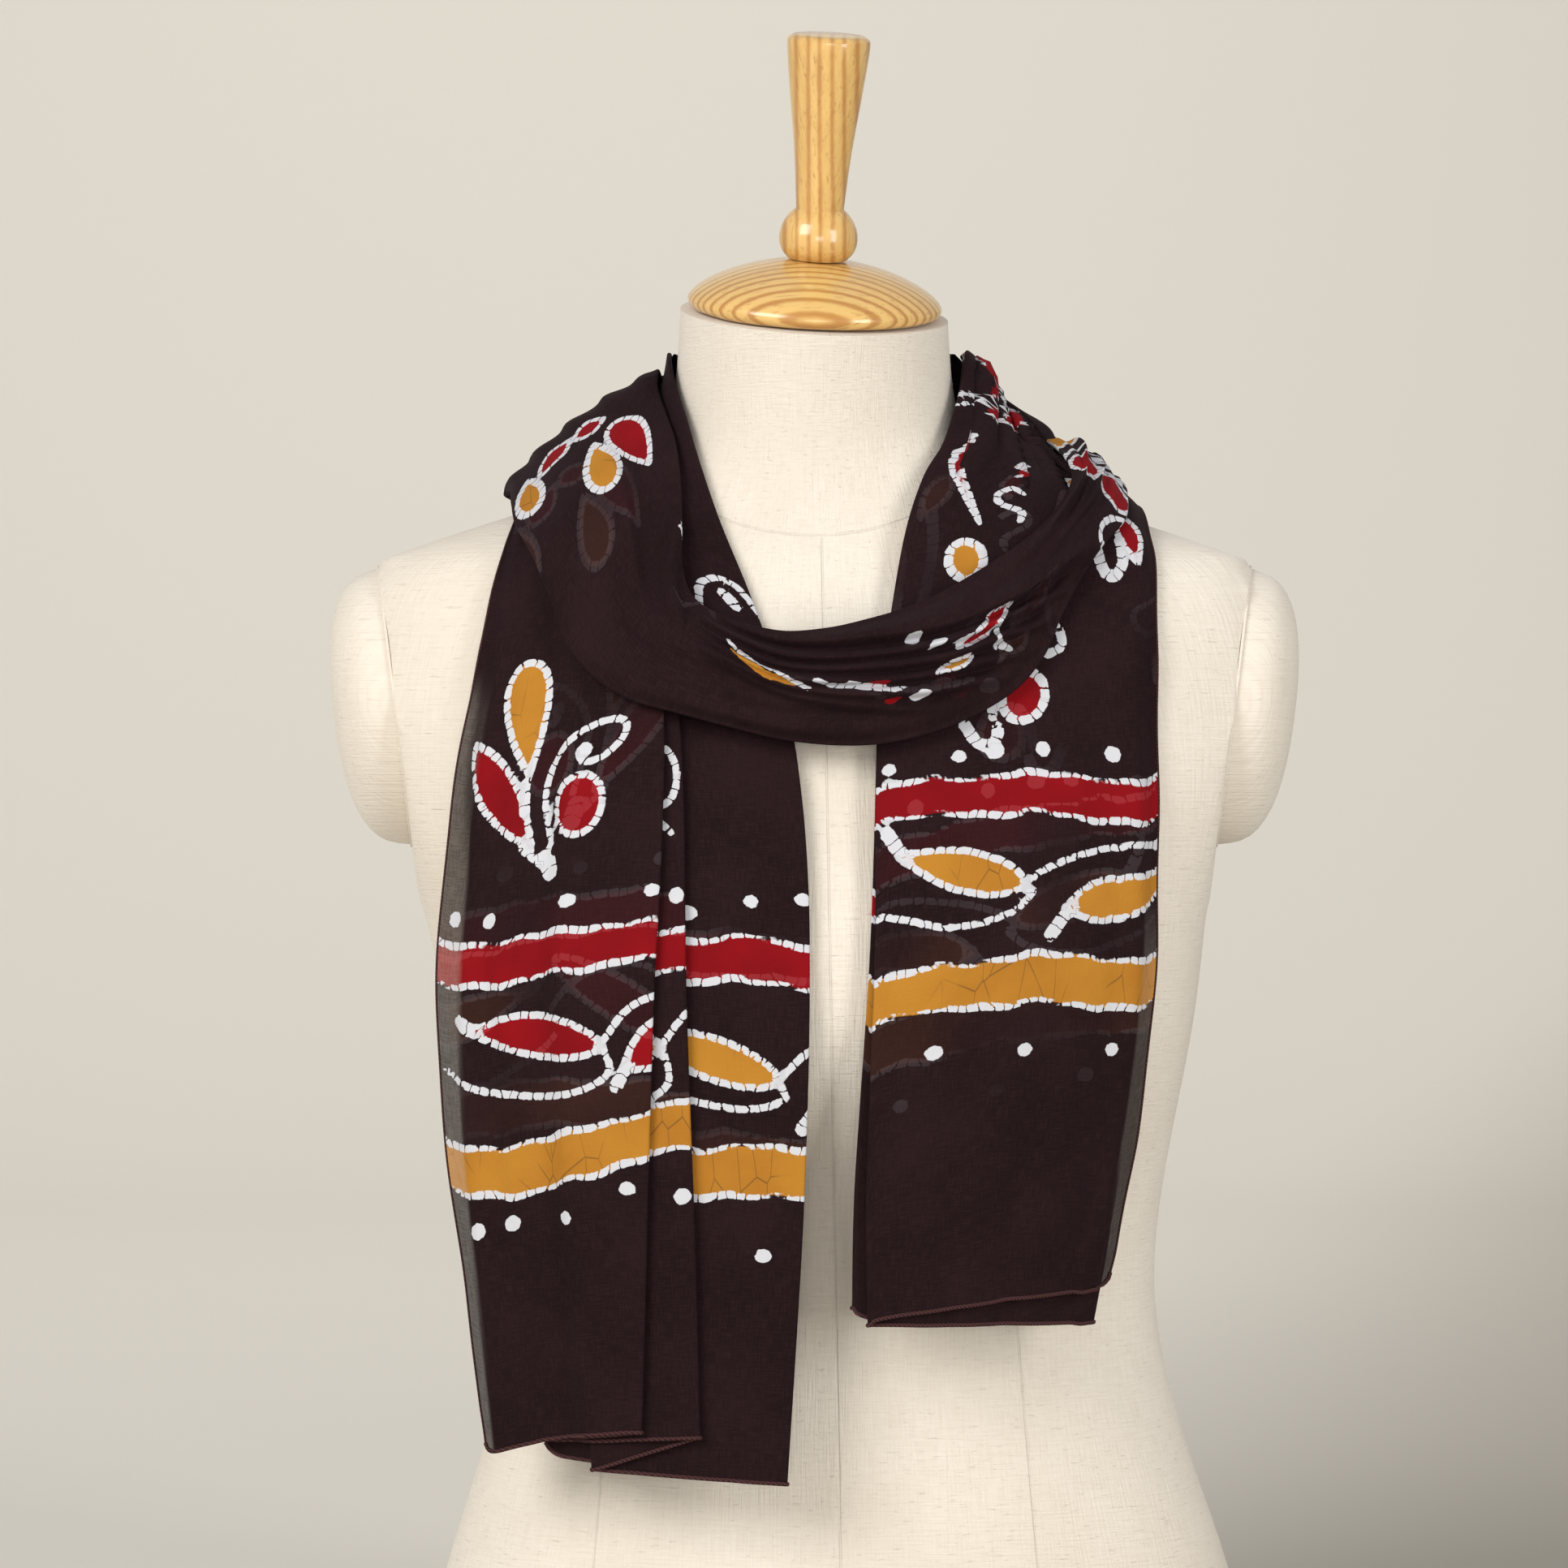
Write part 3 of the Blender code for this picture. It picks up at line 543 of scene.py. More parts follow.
def raised_off(grid, beneath, clearance, reach=70.0, rounds=8):
    """Lifts a grid off what is under it, evenly enough to leave no bumps."""
    facing = outward(grid)
    need = np.zeros(grid.shape[:2])
    for index in np.ndindex(need.shape):
        outside = Vector(grid[index] + facing[index] * reach)
        for tree in beneath:
            hit = tree.ray_cast(outside, Vector(-facing[index]), 2.0 * reach)[3]
            if hit is not None:
                need[index] = max(need[index], reach - hit + clearance)
    lift = need
    for _ in range(rounds):
        wide = np.pad(lift, 1, mode="edge")
        beside = (wide[:-2, 1:-1] + wide[2:, 1:-1] + wide[1:-1, :-2] + wide[1:-1, 2:]) / 4.0
        lift = np.maximum(need, 0.5 * lift + 0.5 * beside)
    return grid + facing * lift[..., None]


def laid_on(grid, shares, heights):
    """Points at shares across a grid and heights above it, a row for each station."""
    facing = outward(grid)
    last = grid.shape[1] - 1
    place = shares * last
    low = np.clip(np.floor(place).astype(int), 0, last - 1)
    part = (place - low)[..., None]
    station = np.arange(grid.shape[0])[:, None]
    spot = grid[station, low] * (1.0 - part) + grid[station, low + 1] * part
    part = np.clip(part, 0.0, 1.0)
    up = facing[station, low] * (1.0 - part) + facing[station, low + 1] * part
    up /= np.linalg.norm(up, axis=2, keepdims=True)
    return spot + up * heights[..., None], up


def tree_of_grid(points):
    """A search tree of a grid of points."""
    rows, columns = points.shape[:2]
    faces = [
        (r * columns + c, r * columns + c + 1, (r + 1) * columns + c + 1, (r + 1) * columns + c)
        for r in range(rows - 1)
        for c in range(columns - 1)
    ]
    return BVHTree.FromPolygons([Vector(point) for point in points.reshape(-1, 3)], faces)


def tree_of_solid(node):
    """A search tree of a solid, in mm."""
    mesh = bpy.data.objects[node].data
    corners = [corner.co / MM for corner in mesh.vertices]
    return BVHTree.FromPolygons(corners, [face.vertices[:] for face in mesh.polygons])


body_tree = tree_of_solid("form_torso")
print("search trees ready")

# %% [markdown]
# ### Creases
# Cotton voile creases softly, and where it is gathered its folds lean over each other. Each
# row of a crease table is one ridge, or one trough where its height is negative. It follows a
# few places, each a share along the stretch and a share across it. A ridge with one short
# side and one long side looks like a fold that lies over the next one.


# %% Distances from curves
def nearest_on(spots, line):
    """How far each spot is from a polyline, on which side, and how far along it."""
    line = np.asarray(line, dtype=float)
    best = np.full(len(spots), 1e9)
    side, along = np.ones(len(spots)), np.zeros(len(spots))
    gone = 0.0
    for start, end in zip(line[:-1], line[1:]):
        step = end - start
        length = max(float(np.hypot(*step)), 1e-6)
        part = np.clip(((spots - start) @ step) / length**2, 0.0, 1.0)
        away = spots - start - part[:, None] * step
        far = np.hypot(*away.T)
        closer = far < best
        turn = step[0] * away[:, 1] - step[1] * away[:, 0]
        side[closer] = np.sign(turn[closer])
        along[closer] = (gone + part * length)[closer]
        best = np.minimum(best, far)
        gone += length
    return best, side, along / gone, gone


# %% Ridges and troughs along a grid
def creased(rows, stations, across, run, width):
    """Heights of a crease table over a grid, in mm; run and width are its size in mm."""
    size = np.array([run, width])
    down, over = np.linspace(0.0, run, stations), np.linspace(0.0, width, across)
    spots = np.column_stack([np.repeat(down, across), np.tile(over, stations)])
    heights = np.zeros(len(spots))
    for places, inner, outer, high in rows:
        far, side, along, _ = nearest_on(spots, follow(np.array(places) * size, 20))
        wide = np.where(side > 0.0, outer, inner)
        taper = smooth(along * 4.0) * smooth((1.0 - along) * 4.0)
        heights += high * np.exp(-((far / wide) ** 2)) * taper
    return heights.reshape(stations, across)


print("creases ready")

# %% [markdown]
# ### The two tails
# Each tail is the cloth's whole width, about 0.44 m, folded to and fro like a fan: from the
# layer against the chest to the one in front. Where a layer ends, a small half-round turn leads into the
# next. A layer rests on those beneath it, so the pile is thicker where more of them lie.

# %% Tables of the tails: inner edge x, y, z; outer edge x, y, z; bulge of the middle
TAIL_LEFT = (
    (-60.0, FRONT_END, 566.0, -124.0, FRONT_END, 501.0, -16.0),
    (-59.0, -4.0, 565.0, -125.0, -6.0, 500.0, -16.0),
    (-55.0, -22.0, 551.0, -124.0, -24.0, 493.0, -13.0),
    (-48.0, -45.0, 524.0, -125.0, -42.0, 480.0, -8.0),
    (-38.0, -66.0, 488.0, -130.0, -60.0, 458.0, 0.0),
    (-22.0, -87.0, 446.0, -137.0, -73.0, 430.0, 3.0),
    (-10.0, -104.0, 405.0, -145.0, -82.0, 400.0, 5.0),
    (-4.0, -121.0, 353.0, -151.0, -89.0, 356.0, 8.0),
    (-3.0, -131.0, 300.0, -154.0, -95.0, 304.0, 8.0),
    (-4.0, -133.0, 250.0, -152.0, -98.0, 252.0, 8.0),
    (-6.0, -133.0, 200.0, -147.0, -99.0, 204.0, 8.0),
    (-9.0, -133.0, 150.0, -140.0, -100.0, 158.0, 8.0),
    (-12.0, -133.0, 103.0, -134.0, -101.0, 109.0, 8.0),
)
TAIL_RIGHT = (
    (61.0, FRONT_END, 567.0, 133.0, FRONT_END, 499.0, -11.0),
    (60.0, -4.0, 566.0, 135.0, -6.0, 498.0, -11.0),
    (56.0, -20.0, 549.0, 137.0, -24.0, 493.0, -9.0),
    (50.0, -42.0, 524.0, 138.0, -42.0, 482.0, -5.0),
    (38.0, -66.0, 497.0, 139.0, -58.0, 463.0, 0.0),
    (29.0, -88.0, 447.0, 139.0, -73.0, 436.0, 3.0),
    (24.0, -103.0, 404.0, 139.0, -82.0, 400.0, 5.0),
    (23.0, -121.0, 353.0, 140.0, -92.0, 356.0, 7.0),
    (22.0, -131.0, 305.0, 139.0, -98.0, 308.0, 8.0),
    (20.0, -133.0, 255.0, 133.0, -102.0, 258.0, 8.0),
    (19.0, -133.0, 212.0, 126.0, -104.0, 216.0, 8.0),
    (20.0, -133.0, 174.0, 120.0, -106.0, 181.0, 8.0),
)

# %% How each tail is folded: start and end at the neck, at the hem, two drops and their ease
LAYERS_LEFT = (
    (0.80, 0.00, 0.79, 0.00, -5.0, 0.0, 1.0),
    (0.00, 0.64, 0.00, 0.61, 0.0, -1.0, 1.0),
    (0.64, 0.345, 0.61, 0.27, -1.0, -17.0, 1.0),
    (0.345, 0.89, 0.27, 0.94, -17.0, -9.0, 1.0),
    (0.89, 0.36, 0.94, 0.45, -9.0, -18.0, 1.0),
    (0.36, 1.00, 0.45, 1.00, -18.0, -2.0, 1.6),
)
LAYERS_RIGHT = (
    (0.90, 0.05, 0.88, -0.07, 12.0, 0.0, 1.0),
    (0.05, 0.92, -0.07, 0.90, 0.0, 14.0, 0.5),
    (0.92, 0.02, 0.90, 0.02, 14.0, 7.0, 1.0),
    (0.02, 1.00, 0.02, 1.00, 7.0, 0.0, 0.35),
)

# %% Creases of the tails: places (along, across), width inwards, width outwards, height
CREASES_LEFT = (
    (((0.46, 1.02), (0.60, 0.90), (0.80, 0.74)), 1.5, 3.0, -0.8),
    (((0.40, 0.92), (0.70, 0.90), (1.05, 0.95)), 5.0, 4.0, 0.7),
    (((0.25, 0.30), (0.60, 0.26), (1.00, 0.20)), 8.0, 10.0, -1.2),
    (((0.30, 0.12), (0.65, 0.14), (1.05, 0.10)), 6.0, 8.0, 1.0),
    (((0.55, 0.64), (0.80, 0.58), (1.05, 0.57)), 7.0, 9.0, 1.1),
    (((0.70, 0.78), (0.88, 0.80), (1.05, 0.76)), 6.0, 5.0, -1.0),
    (((0.02, 0.25), (0.20, 0.16), (0.42, 0.08)), 4.0, 5.0, 1.2),
    (((0.86, 0.90), (0.95, 0.86), (1.05, 0.83)), 4.0, 5.0, 0.9),
    (((0.90, 0.10), (0.96, 0.16), (1.05, 0.18)), 3.5, 4.5, -0.8),
)
CREASES_RIGHT = (
    (((-0.02, 0.10), (0.10, 0.12), (0.22, 0.16), (0.36, 0.16)), 1.4, 5.0, 3.0),
    (((-0.02, 0.22), (0.08, 0.24), (0.20, 0.32), (0.34, 0.42)), 5.0, 1.4, 3.2),
    (((-0.02, 0.34), (0.08, 0.38), (0.18, 0.50), (0.30, 0.62)), 4.0, 1.3, 3.0),
    (((-0.02, 0.46), (0.07, 0.54), (0.15, 0.68), (0.24, 0.80)), 4.0, 1.6, 2.8),
    (((-0.02, 0.60), (0.05, 0.70), (0.12, 0.82), (0.20, 0.90)), 4.0, 2.0, 2.4),
    (((0.40, 0.75), (0.70, 0.82), (1.05, 0.86)), 8.0, 6.0, -1.0),
    (((0.50, 0.20), (0.75, 0.24), (1.05, 0.22)), 9.0, 9.0, 1.1),
    (((0.72, 0.62), (0.88, 0.56), (1.05, 0.50)), 7.0, 7.0, -1.0),
    (((0.84, 0.98), (0.92, 0.88), (1.02, 0.82)), 3.0, 4.0, 1.1),
    (((0.88, 0.98), (0.95, 0.92), (1.05, 0.90)), 2.0, 3.0, -0.9),
    (((0.86, 0.35), (0.94, 0.38), (1.05, 0.42)), 4.5, 5.0, 0.8),
)


# %% Fold a tail
BED_STATIONS, BED_ACROSS = 19, 15  # points along and across the bed, as in the solids
FINE_ACROSS = 81  # points across the bed once it is creased
FAN_FOLDS, FAN_LENGTH = 3.5, 0.42  # pleats over the shoulder, and the share where they run out
HEM_SHIFT = 2.5  # the folds move to their places at the hem mostly in the lower half
HEM_START, HEM_REACH = 0.55, 0.45  # shares of a tail where its layers come to differ in length
CORNER, CORNER_POINTS, EDGE_WANDER = 7.0, 5, 0.5
PRESSED, PRESSED_END = 0.3, 0.045  # how flat the pile starts, and the share where it is full
BEND_STEPS = (36.0, 72.0, 108.0, 144.0)  # degrees round the small turn between two layers


def folded_tail(table, layers, creases, fan_depth):
    """Points of a folded tail, their shares across it, and the last column of each layer."""
    coarse = raised_off(bed(table, BED_STATIONS, BED_ACROSS), [body_tree], CLEAR)
    run = np.linalg.norm(np.diff(coarse[:, BED_ACROSS // 2], axis=0), axis=1).sum()
    stations = int(run / THREAD_STEP)
    fine = follow(follow(coarse, stations).swapaxes(0, 1), FINE_ACROSS).swapaxes(0, 1)
    width = np.linalg.norm(fine[:, -1] - fine[:, 0], axis=1)
    relief = creased(creases, stations, FINE_ACROSS, run, width.mean())
    fine = fine + outward(fine) * relief[..., None]
    down = np.linspace(0.0, 1.0, stations)
    rows = np.array(layers)
    late = down[:, None] ** HEM_SHIFT
    starts = rows[:, 0] * (1.0 - late) + rows[:, 2] * late
    ends = rows[:, 1] * (1.0 - late) + rows[:, 3] * late
    longer = smooth((down - HEM_START) / HEM_REACH)
    fan = fan_depth * (1.0 - smooth(down / FAN_LENGTH))
    pressed = PRESSED + (1.0 - PRESSED) * smooth(down / PRESSED_END)

    def height(share, layer):
        total = np.zeros(stations)
        for lower in range(layer):
            near = np.minimum(starts[:, lower], ends[:, lower])
            far = np.maximum(starts[:, lower], ends[:, lower])
            past = np.maximum(np.maximum(near - share, share - far), 0.0) * width
            total += PITCH * (1.0 - smooth(past / LAYER_RAMP))
        return total

    shares, heights, drops, last_columns = [], [], [], []
    for layer in range(len(rows)):
        start, end = starts[:, layer], ends[:, layer]
        front = layer + 1 == len(rows)
        points = max(4, int((np.abs(end - start) * width).mean() / THREAD_STEP))
        for part in np.linspace(0.0, 1.0, points):
            share = start * (1.0 - part) + end * part
            ridge = 0.5 - 0.5 * np.cos(2.0 * math.pi * FAN_FOLDS * share)
            shares.append(share)
            heights.append((height(share, layer) + (fan * ridge if front else 0.0)) * pressed)
            eased = part ** rows[layer, 6]
            drops.append(rows[layer, 4] * (1.0 - eased) + rows[layer, 5] * eased)
        last_columns.append(len(shares) - 1)
        if not front:
            onward = np.sign(end - start) * PITCH * 0.5 / width
            for turn in BEND_STEPS:
                shares.append(end + onward * math.sin(math.radians(turn)))
                climb = 0.5 - 0.5 * math.cos(math.radians(turn))
                heights.append((height(end, layer) + PITCH * climb) * pressed)
                drops.append(rows[layer, 5])
    points, _ = laid_on(fine, np.column_stack(shares), np.column_stack(heights))
    points[..., 2] -= np.array(drops)[None, :] * longer[:, None]
    for edge, inward in ((0, 1), (-1, -1)):  # round the corners and let the long edges wander
        for step in range(CORNER_POINTS):
            column = edge + inward * step
            rise = CORNER * (1.0 - math.sin(math.acos(1.0 - (step + 0.3) / CORNER_POINTS)))
            points[:, column, 2] += rise * smooth((down - 1.0) * run / (3.0 * CORNER) + 1.0)
        wander = EDGE_WANDER * (np.sin(19.0 * down + 2.0 * edge) + 0.6 * np.sin(47.0 * down + edge))
        points[:, edge, 0] += wander * smooth((down - 0.3) * 5.0)
    return points, np.column_stack(shares), last_columns


tail_left, left_share, left_ends = folded_tail(TAIL_LEFT, LAYERS_LEFT, CREASES_LEFT, 0.8)
tail_right, right_share, right_ends = folded_tail(TAIL_RIGHT, LAYERS_RIGHT, CREASES_RIGHT, 3.6)
print("tail grids", tail_left.shape[:2], tail_right.shape[:2])

# %% [markdown]
# ### The loop and the stretches behind the neck
# The loop is smooth and wide where it comes over the left shoulder, and gathered into six
# long folds where it sweeps across the chest. Its long edges turn in, as the folded edge of a
# scarf does. Behind the neck, one stretch joins the tails and lies under the one that
# closes the loop.

# %% Tables of the stretches: upper edge, lower edge, bulge, fold depth
FRONT_LOOP = (
    (-66.0, FRONT_END, 559.0, -133.0, FRONT_END, 508.0, 5.0, 0.8),
    (-67.0, -3.0, 558.0, -128.0, -12.0, 508.0, 5.0, 0.8),
    (-66.0, -20.0, 543.0, -121.0, -48.0, 493.0, 6.0, 0.8),
    (-61.0, -46.0, 518.0, -111.0, -80.0, 471.0, 7.0, 0.9),
    (-55.0, -75.0, 489.0, -98.0, -95.0, 440.0, 6.0, 1.4),
    (-53.0, -98.0, 465.0, -79.0, -109.0, 421.0, 5.0, 2.6),
    (-36.0, -112.0, 451.0, -48.0, -117.0, 411.0, 4.0, 3.2),
    (-10.0, -118.0, 444.0, -14.0, -121.0, 402.0, 4.0, 3.6),
    (20.0, -115.0, 450.0, 22.0, -121.0, 400.0, 4.0, 3.8),
    (45.0, -107.0, 459.0, 56.0, -112.0, 409.0, 4.0, 3.8),
    (66.0, -96.0, 471.0, 82.0, -99.0, 428.0, 4.0, 3.6),
    (88.0, -84.0, 486.0, 97.0, -90.0, 453.0, 3.0, 3.2),
    (100.0, -67.0, 498.0, 107.0, -82.0, 471.0, 3.0, 2.8),
    (107.0, -45.0, 509.0, 114.0, -64.0, 488.0, 3.0, 2.6),
    (106.0, -18.0, 521.0, 119.0, -30.0, 503.0, 3.0, 2.4),
    (100.0, FRONT_END, 531.0, 121.0, FRONT_END, 511.0, 3.0, 2.4),
)
NECK_BACK_OVER = (
    (100.0, BACK_END, 531.0, 121.0, BACK_END, 511.0, 3.0, 2.4),
    (93.0, 36.0, 542.0, 115.0, 46.0, 505.0, 4.0, 2.6),
    (76.0, 58.0, 556.0, 98.0, 76.0, 494.0, 5.0, 2.8),
    (46.0, 70.0, 565.0, 62.0, 92.0, 491.0, 5.0, 3.0),
    (12.0, 74.0, 567.0, 18.0, 97.0, 488.0, 5.0, 3.0),
    (-24.0, 72.0, 566.0, -32.0, 95.0, 489.0, 5.0, 2.8),
    (-54.0, 60.0, 564.0, -80.0, 82.0, 493.0, 5.0, 2.2),
    (-68.0, 36.0, 561.0, -116.0, 48.0, 501.0, 5.0, 1.6),
    (-66.0, BACK_END, 559.0, -133.0, BACK_END, 508.0, 5.0, 0.8),
)
NECK_BACK_UNDER = (
    (61.0, BACK_END, 568.0, 128.0, BACK_END, 502.0, -9.0, 1.6),
    (54.0, 34.0, 570.0, 104.0, 50.0, 499.0, -5.0, 2.0),
    (34.0, 50.0, 574.0, 62.0, 76.0, 494.0, -2.0, 2.2),
    (0.0, 56.0, 576.0, 0.0, 82.0, 490.0, 0.0, 2.2),
    (-34.0, 50.0, 574.0, -62.0, 76.0, 494.0, -2.0, 2.2),
    (-54.0, 34.0, 569.0, -102.0, 50.0, 499.0, -5.0, 2.0),
    (-60.0, BACK_END, 567.0, -120.0, BACK_END, 504.0, -11.0, 1.6),
)

# %% Folds of the gathered stretches: places (along, across), width inwards, outwards, height
FOLDS_LOOP = (
    (((0.36, -0.02), (0.48, 0.13), (0.58, 0.25), (0.66, 0.37), (0.73, 0.60), (0.80, 0.86), (0.86, 1.05)),
     9.0, 1.2, 7.8),
    (((0.34, 0.08), (0.46, 0.24), (0.56, 0.35), (0.65, 0.48), (0.71, 0.70), (0.77, 1.0)), 3.6, 1.0, 7.1),
    (((0.35, 0.15), (0.46, 0.33), (0.56, 0.45), (0.64, 0.58), (0.69, 0.78), (0.74, 1.02)), 3.2, 1.0, 7.1),
    (((0.36, 0.22), (0.46, 0.42), (0.56, 0.55), (0.63, 0.69), (0.69, 0.96)), 3.4, 1.0, 6.8),
    (((0.38, 0.32), (0.48, 0.53), (0.56, 0.66), (0.62, 0.80), (0.67, 1.0)), 3.6, 1.2, 6.1),
    (((0.36, 0.30), (0.44, 0.50), (0.52, 0.68), (0.60, 0.86)), 4.0, 2.0, 4.4),
    (((0.24, -0.05), (0.31, 0.07), (0.355, 0.20), (0.37, 0.42)), 1.4, 7.0, 5.8),
    (((0.05, 0.60), (0.18, 0.62), (0.30, 0.72), (0.42, 0.86)), 7.0, 9.0, 1.8),
    (((0.10, 0.30), (0.22, 0.34), (0.34, 0.48), (0.46, 0.74)), 5.0, 6.0, -1.6),
    (((-0.05, 0.08), (0.06, 0.10), (0.16, 0.08)), 3.0, 2.0, 3.7),
    (((-0.05, 0.30), (0.05, 0.30), (0.13, 0.24)), 4.5, 2.0, 5.1),
    (((-0.05, 0.54), (0.04, 0.54), (0.11, 0.47)), 4.5, 2.0, 5.1),
    (((-0.05, 0.76), (0.035, 0.76), (0.10, 0.70)), 4.5, 2.0, 5.1),
    (((-0.05, 0.96), (0.03, 0.95), (0.09, 0.90)), 4.0, 2.0, 3.7),
    (((0.74, 0.10), (0.84, 0.18), (0.94, 0.30), (1.05, 0.34)), 2.6, 1.6, 3.7),
    (((0.78, 0.40), (0.88, 0.52), (1.05, 0.66)), 2.4, 1.5, 2.6),
)
FOLDS_BACK = (
    (((-0.05, 0.10), (0.30, 0.16), (0.62, 0.12)), 4.0, 1.6, 2.4),
    (((0.15, 0.30), (0.60, 0.26), (1.05, 0.30)), 4.5, 1.6, 2.6),
    (((-0.05, 0.46), (0.40, 0.48), (0.80, 0.42)), 4.0, 1.6, 2.6),
    (((0.25, 0.60), (0.65, 0.64), (1.05, 0.56)), 4.5, 1.6, 2.6),
    (((-0.05, 0.74), (0.30, 0.78), (0.66, 0.80)), 4.0, 1.6, 2.4),
    (((0.40, 0.90), (0.75, 0.86), (1.05, 0.78)), 4.0, 2.0, 2.2),
)


# %% Gather a stretch
BAND_ACROSS = 23  # points across a gathered stretch's bed, as in the solids
FOLDS_ACROSS, FOLD_DRIFT = 4.5, 0.8  # waves across, and those that run out at an edge
FOLD_POWER = 0.8  # below 1 the ridges are broader than the troughs
FULL_DEPTH = 2.6  # mm of fold depth at which the long folds stand at their full height
EDGE_DIP, EDGE_REACH = 0.35, 5.0  # share of the curl that an edge sinks by, and mm it takes
DEEPEST = 0.5  # share of the curl below which no trough goes
TUCK_STEPS = np.linspace(1.0, 0.0, 5)[:-1]  # down from the turned-in edge to the fold


def tucked(turn):
    """How far in a turned-in edge lies, as a share of the tuck; turn is 1 at the edge itself."""
    return turn**2 * 0.9 - 0.25 * (turn * (1.0 - turn)) * 4.0


def gathered(table, folds, beneath, stations, wave_share, spacing):
    """A stretch round the neck, with waves, long folds and edges that turn in."""
    coarse = raised_off(bed(table, stations, BAND_ACROSS), beneath, CLEAR + EDGE_CURL)
    run = np.linalg.norm(np.diff(coarse[:, BAND_ACROSS // 2], axis=0), axis=1).sum()
    count = int(run / THREAD_STEP)
    across = int(np.linalg.norm(coarse[:, -1] - coarse[:, 0], axis=1).max() / spacing)
    fine = follow(follow(coarse, count).swapaxes(0, 1), across).swapaxes(0, 1)
    deep = follow(table, count)[:, 7][:, None]
    width = np.linalg.norm(fine[:, -1] - fine[:, 0], axis=1)[:, None]
    inner = np.linspace(0.0, 1.0, across)[None, :]
    waves = inner * FOLDS_ACROSS + np.linspace(0.0, FOLD_DRIFT, count)[:, None]
    ridge = (0.5 + 0.5 * np.sin(2.0 * math.pi * waves)) ** FOLD_POWER
    heights = deep * ridge * wave_share
    heights += creased(folds, count, across, run, width.mean()) * np.minimum(deep / FULL_DEPTH, 1.0)
    near_edge = np.minimum(inner, 1.0 - inner) * width
    heights -= EDGE_CURL * EDGE_DIP * (1.0 - smooth(near_edge / EDGE_REACH))
    heights = np.maximum(heights, -EDGE_CURL * DEEPEST)
    tuck = EDGE_CURL / width
    flat = np.ones((count, 1))
    first, last = heights[:, :1], heights[:, -1:]
    shares = np.hstack(
        [tuck * tucked(turn) for turn in TUCK_STEPS]
        + [inner * flat]
        + [1.0 - tuck * tucked(turn) for turn in TUCK_STEPS[::-1]]
    )
    lifts = np.hstack(
        [first * (1.0 - turn) - EDGE_CURL * turn for turn in TUCK_STEPS]
        + [heights]
        + [last * (1.0 - turn) - EDGE_CURL * turn for turn in TUCK_STEPS[::-1]]
    )
    return laid_on(fine, shares, lifts)[0]


neck_under = gathered(NECK_BACK_UNDER, FOLDS_BACK, [body_tree], 13, 0.5, THREAD_STEP)
lower_trees = [
    body_tree,
    tree_of_grid(tail_left[::3, ::2]),
    tree_of_grid(tail_right[::3, ::2]),
    tree_of_grid(neck_under[::2, ::2]),
]
loop = gathered(FRONT_LOOP, FOLDS_LOOP, lower_trees, 27, 0.35, THREAD_STEP * 0.72)
neck_over = gathered(NECK_BACK_OVER, FOLDS_BACK, lower_trees, 13, 0.55, THREAD_STEP)
print("loop grid", loop.shape[:2], "behind the neck", neck_over.shape[:2], neck_under.shape[:2])

# %% Where each point lies on the flat cloth, in mm
def arc_lengths(points, axis):
    """Length gone along rows (axis 1) or columns (axis 0) up to each point."""
    steps = np.linalg.norm(np.diff(points, axis=axis), axis=2)
    first = np.zeros((len(points), 1)) if axis == 1 else np.zeros((1, points.shape[1]))
    return np.concatenate([first, np.cumsum(steps, axis=axis)], axis=axis)


def tail_places(points, anchors):
    """Across from the outer edge, true to size near the anchor columns, and up from the hem."""
    gone = arc_lengths(points, 1)
    across = np.zeros(gone.shape)
    start = 0.0
    for near, far in zip(anchors[:-1], anchors[1:]):
        span = slice(far, near + 1)
        from_near = gone[:, near, None] - gone[:, span]
        from_far = gone[:, span] - gone[:, far, None]
        end = start + float(from_near[:, 0].mean())
        part = np.linspace(1.0, 0.0, near - far + 1)[None, :]
        blend = smooth((part - 0.36) / 0.28)
        across[:, span] = (start + from_near) * (1.0 - blend) + (end - from_far) * blend
        start = end
    up = arc_lengths(points, 0)
    return across, up[-1:] - up


def neck_places(points):
    """Across from the lower edge, and along from the far end, level on each station."""
    gone = arc_lengths(points, 1)
    middle = points.shape[1] // 2
    half = float((gone[:, -1] - gone[:, middle]).mean())
    along = arc_lengths(points, 0).mean(axis=1, keepdims=True)
    return half + gone[:, middle, None] - gone, (along[-1] - along) + 0.0 * gone


left_flat = tail_places(tail_left, [tail_left.shape[1] - 1, left_ends[2], left_ends[0], 0])
right_flat = tail_places(tail_right, [tail_right.shape[1] - 1, right_ends[0], 0])
loop_flat, over_flat, under_flat = neck_places(loop), neck_places(neck_over), neck_places(neck_under)
print("flat widths", round(float(np.ptp(left_flat[0]))), round(float(np.ptp(right_flat[0]))))

# %% [markdown]
# ## The batik
# In batik, hot wax is drawn on the cloth by hand, and the dye takes only where there is no wax.
# Wherever the wax lay, a line of cloth stays white. The wax cracks across such a line every few
# millimetres, and the dye that gets in turns it into a row of beads. Between the lines, gold
# and red are brushed in. A painted picture isn't needed for this: each motif is a few curves in
# millimetres. Every point of the cloth stores how far it is from the nearest line and field of
# dye, and how far along the line it lies. The shader turns these lengths to colours, so edges
# stay crisp however near one looks.

# %% The wax pen
FAR = 9.0  # distances are only kept up to this many mm
PEN = 1.5  # half the width of a drawn line
NO_CRACK = -50.0  # the beat of a dot, which is too small to crack


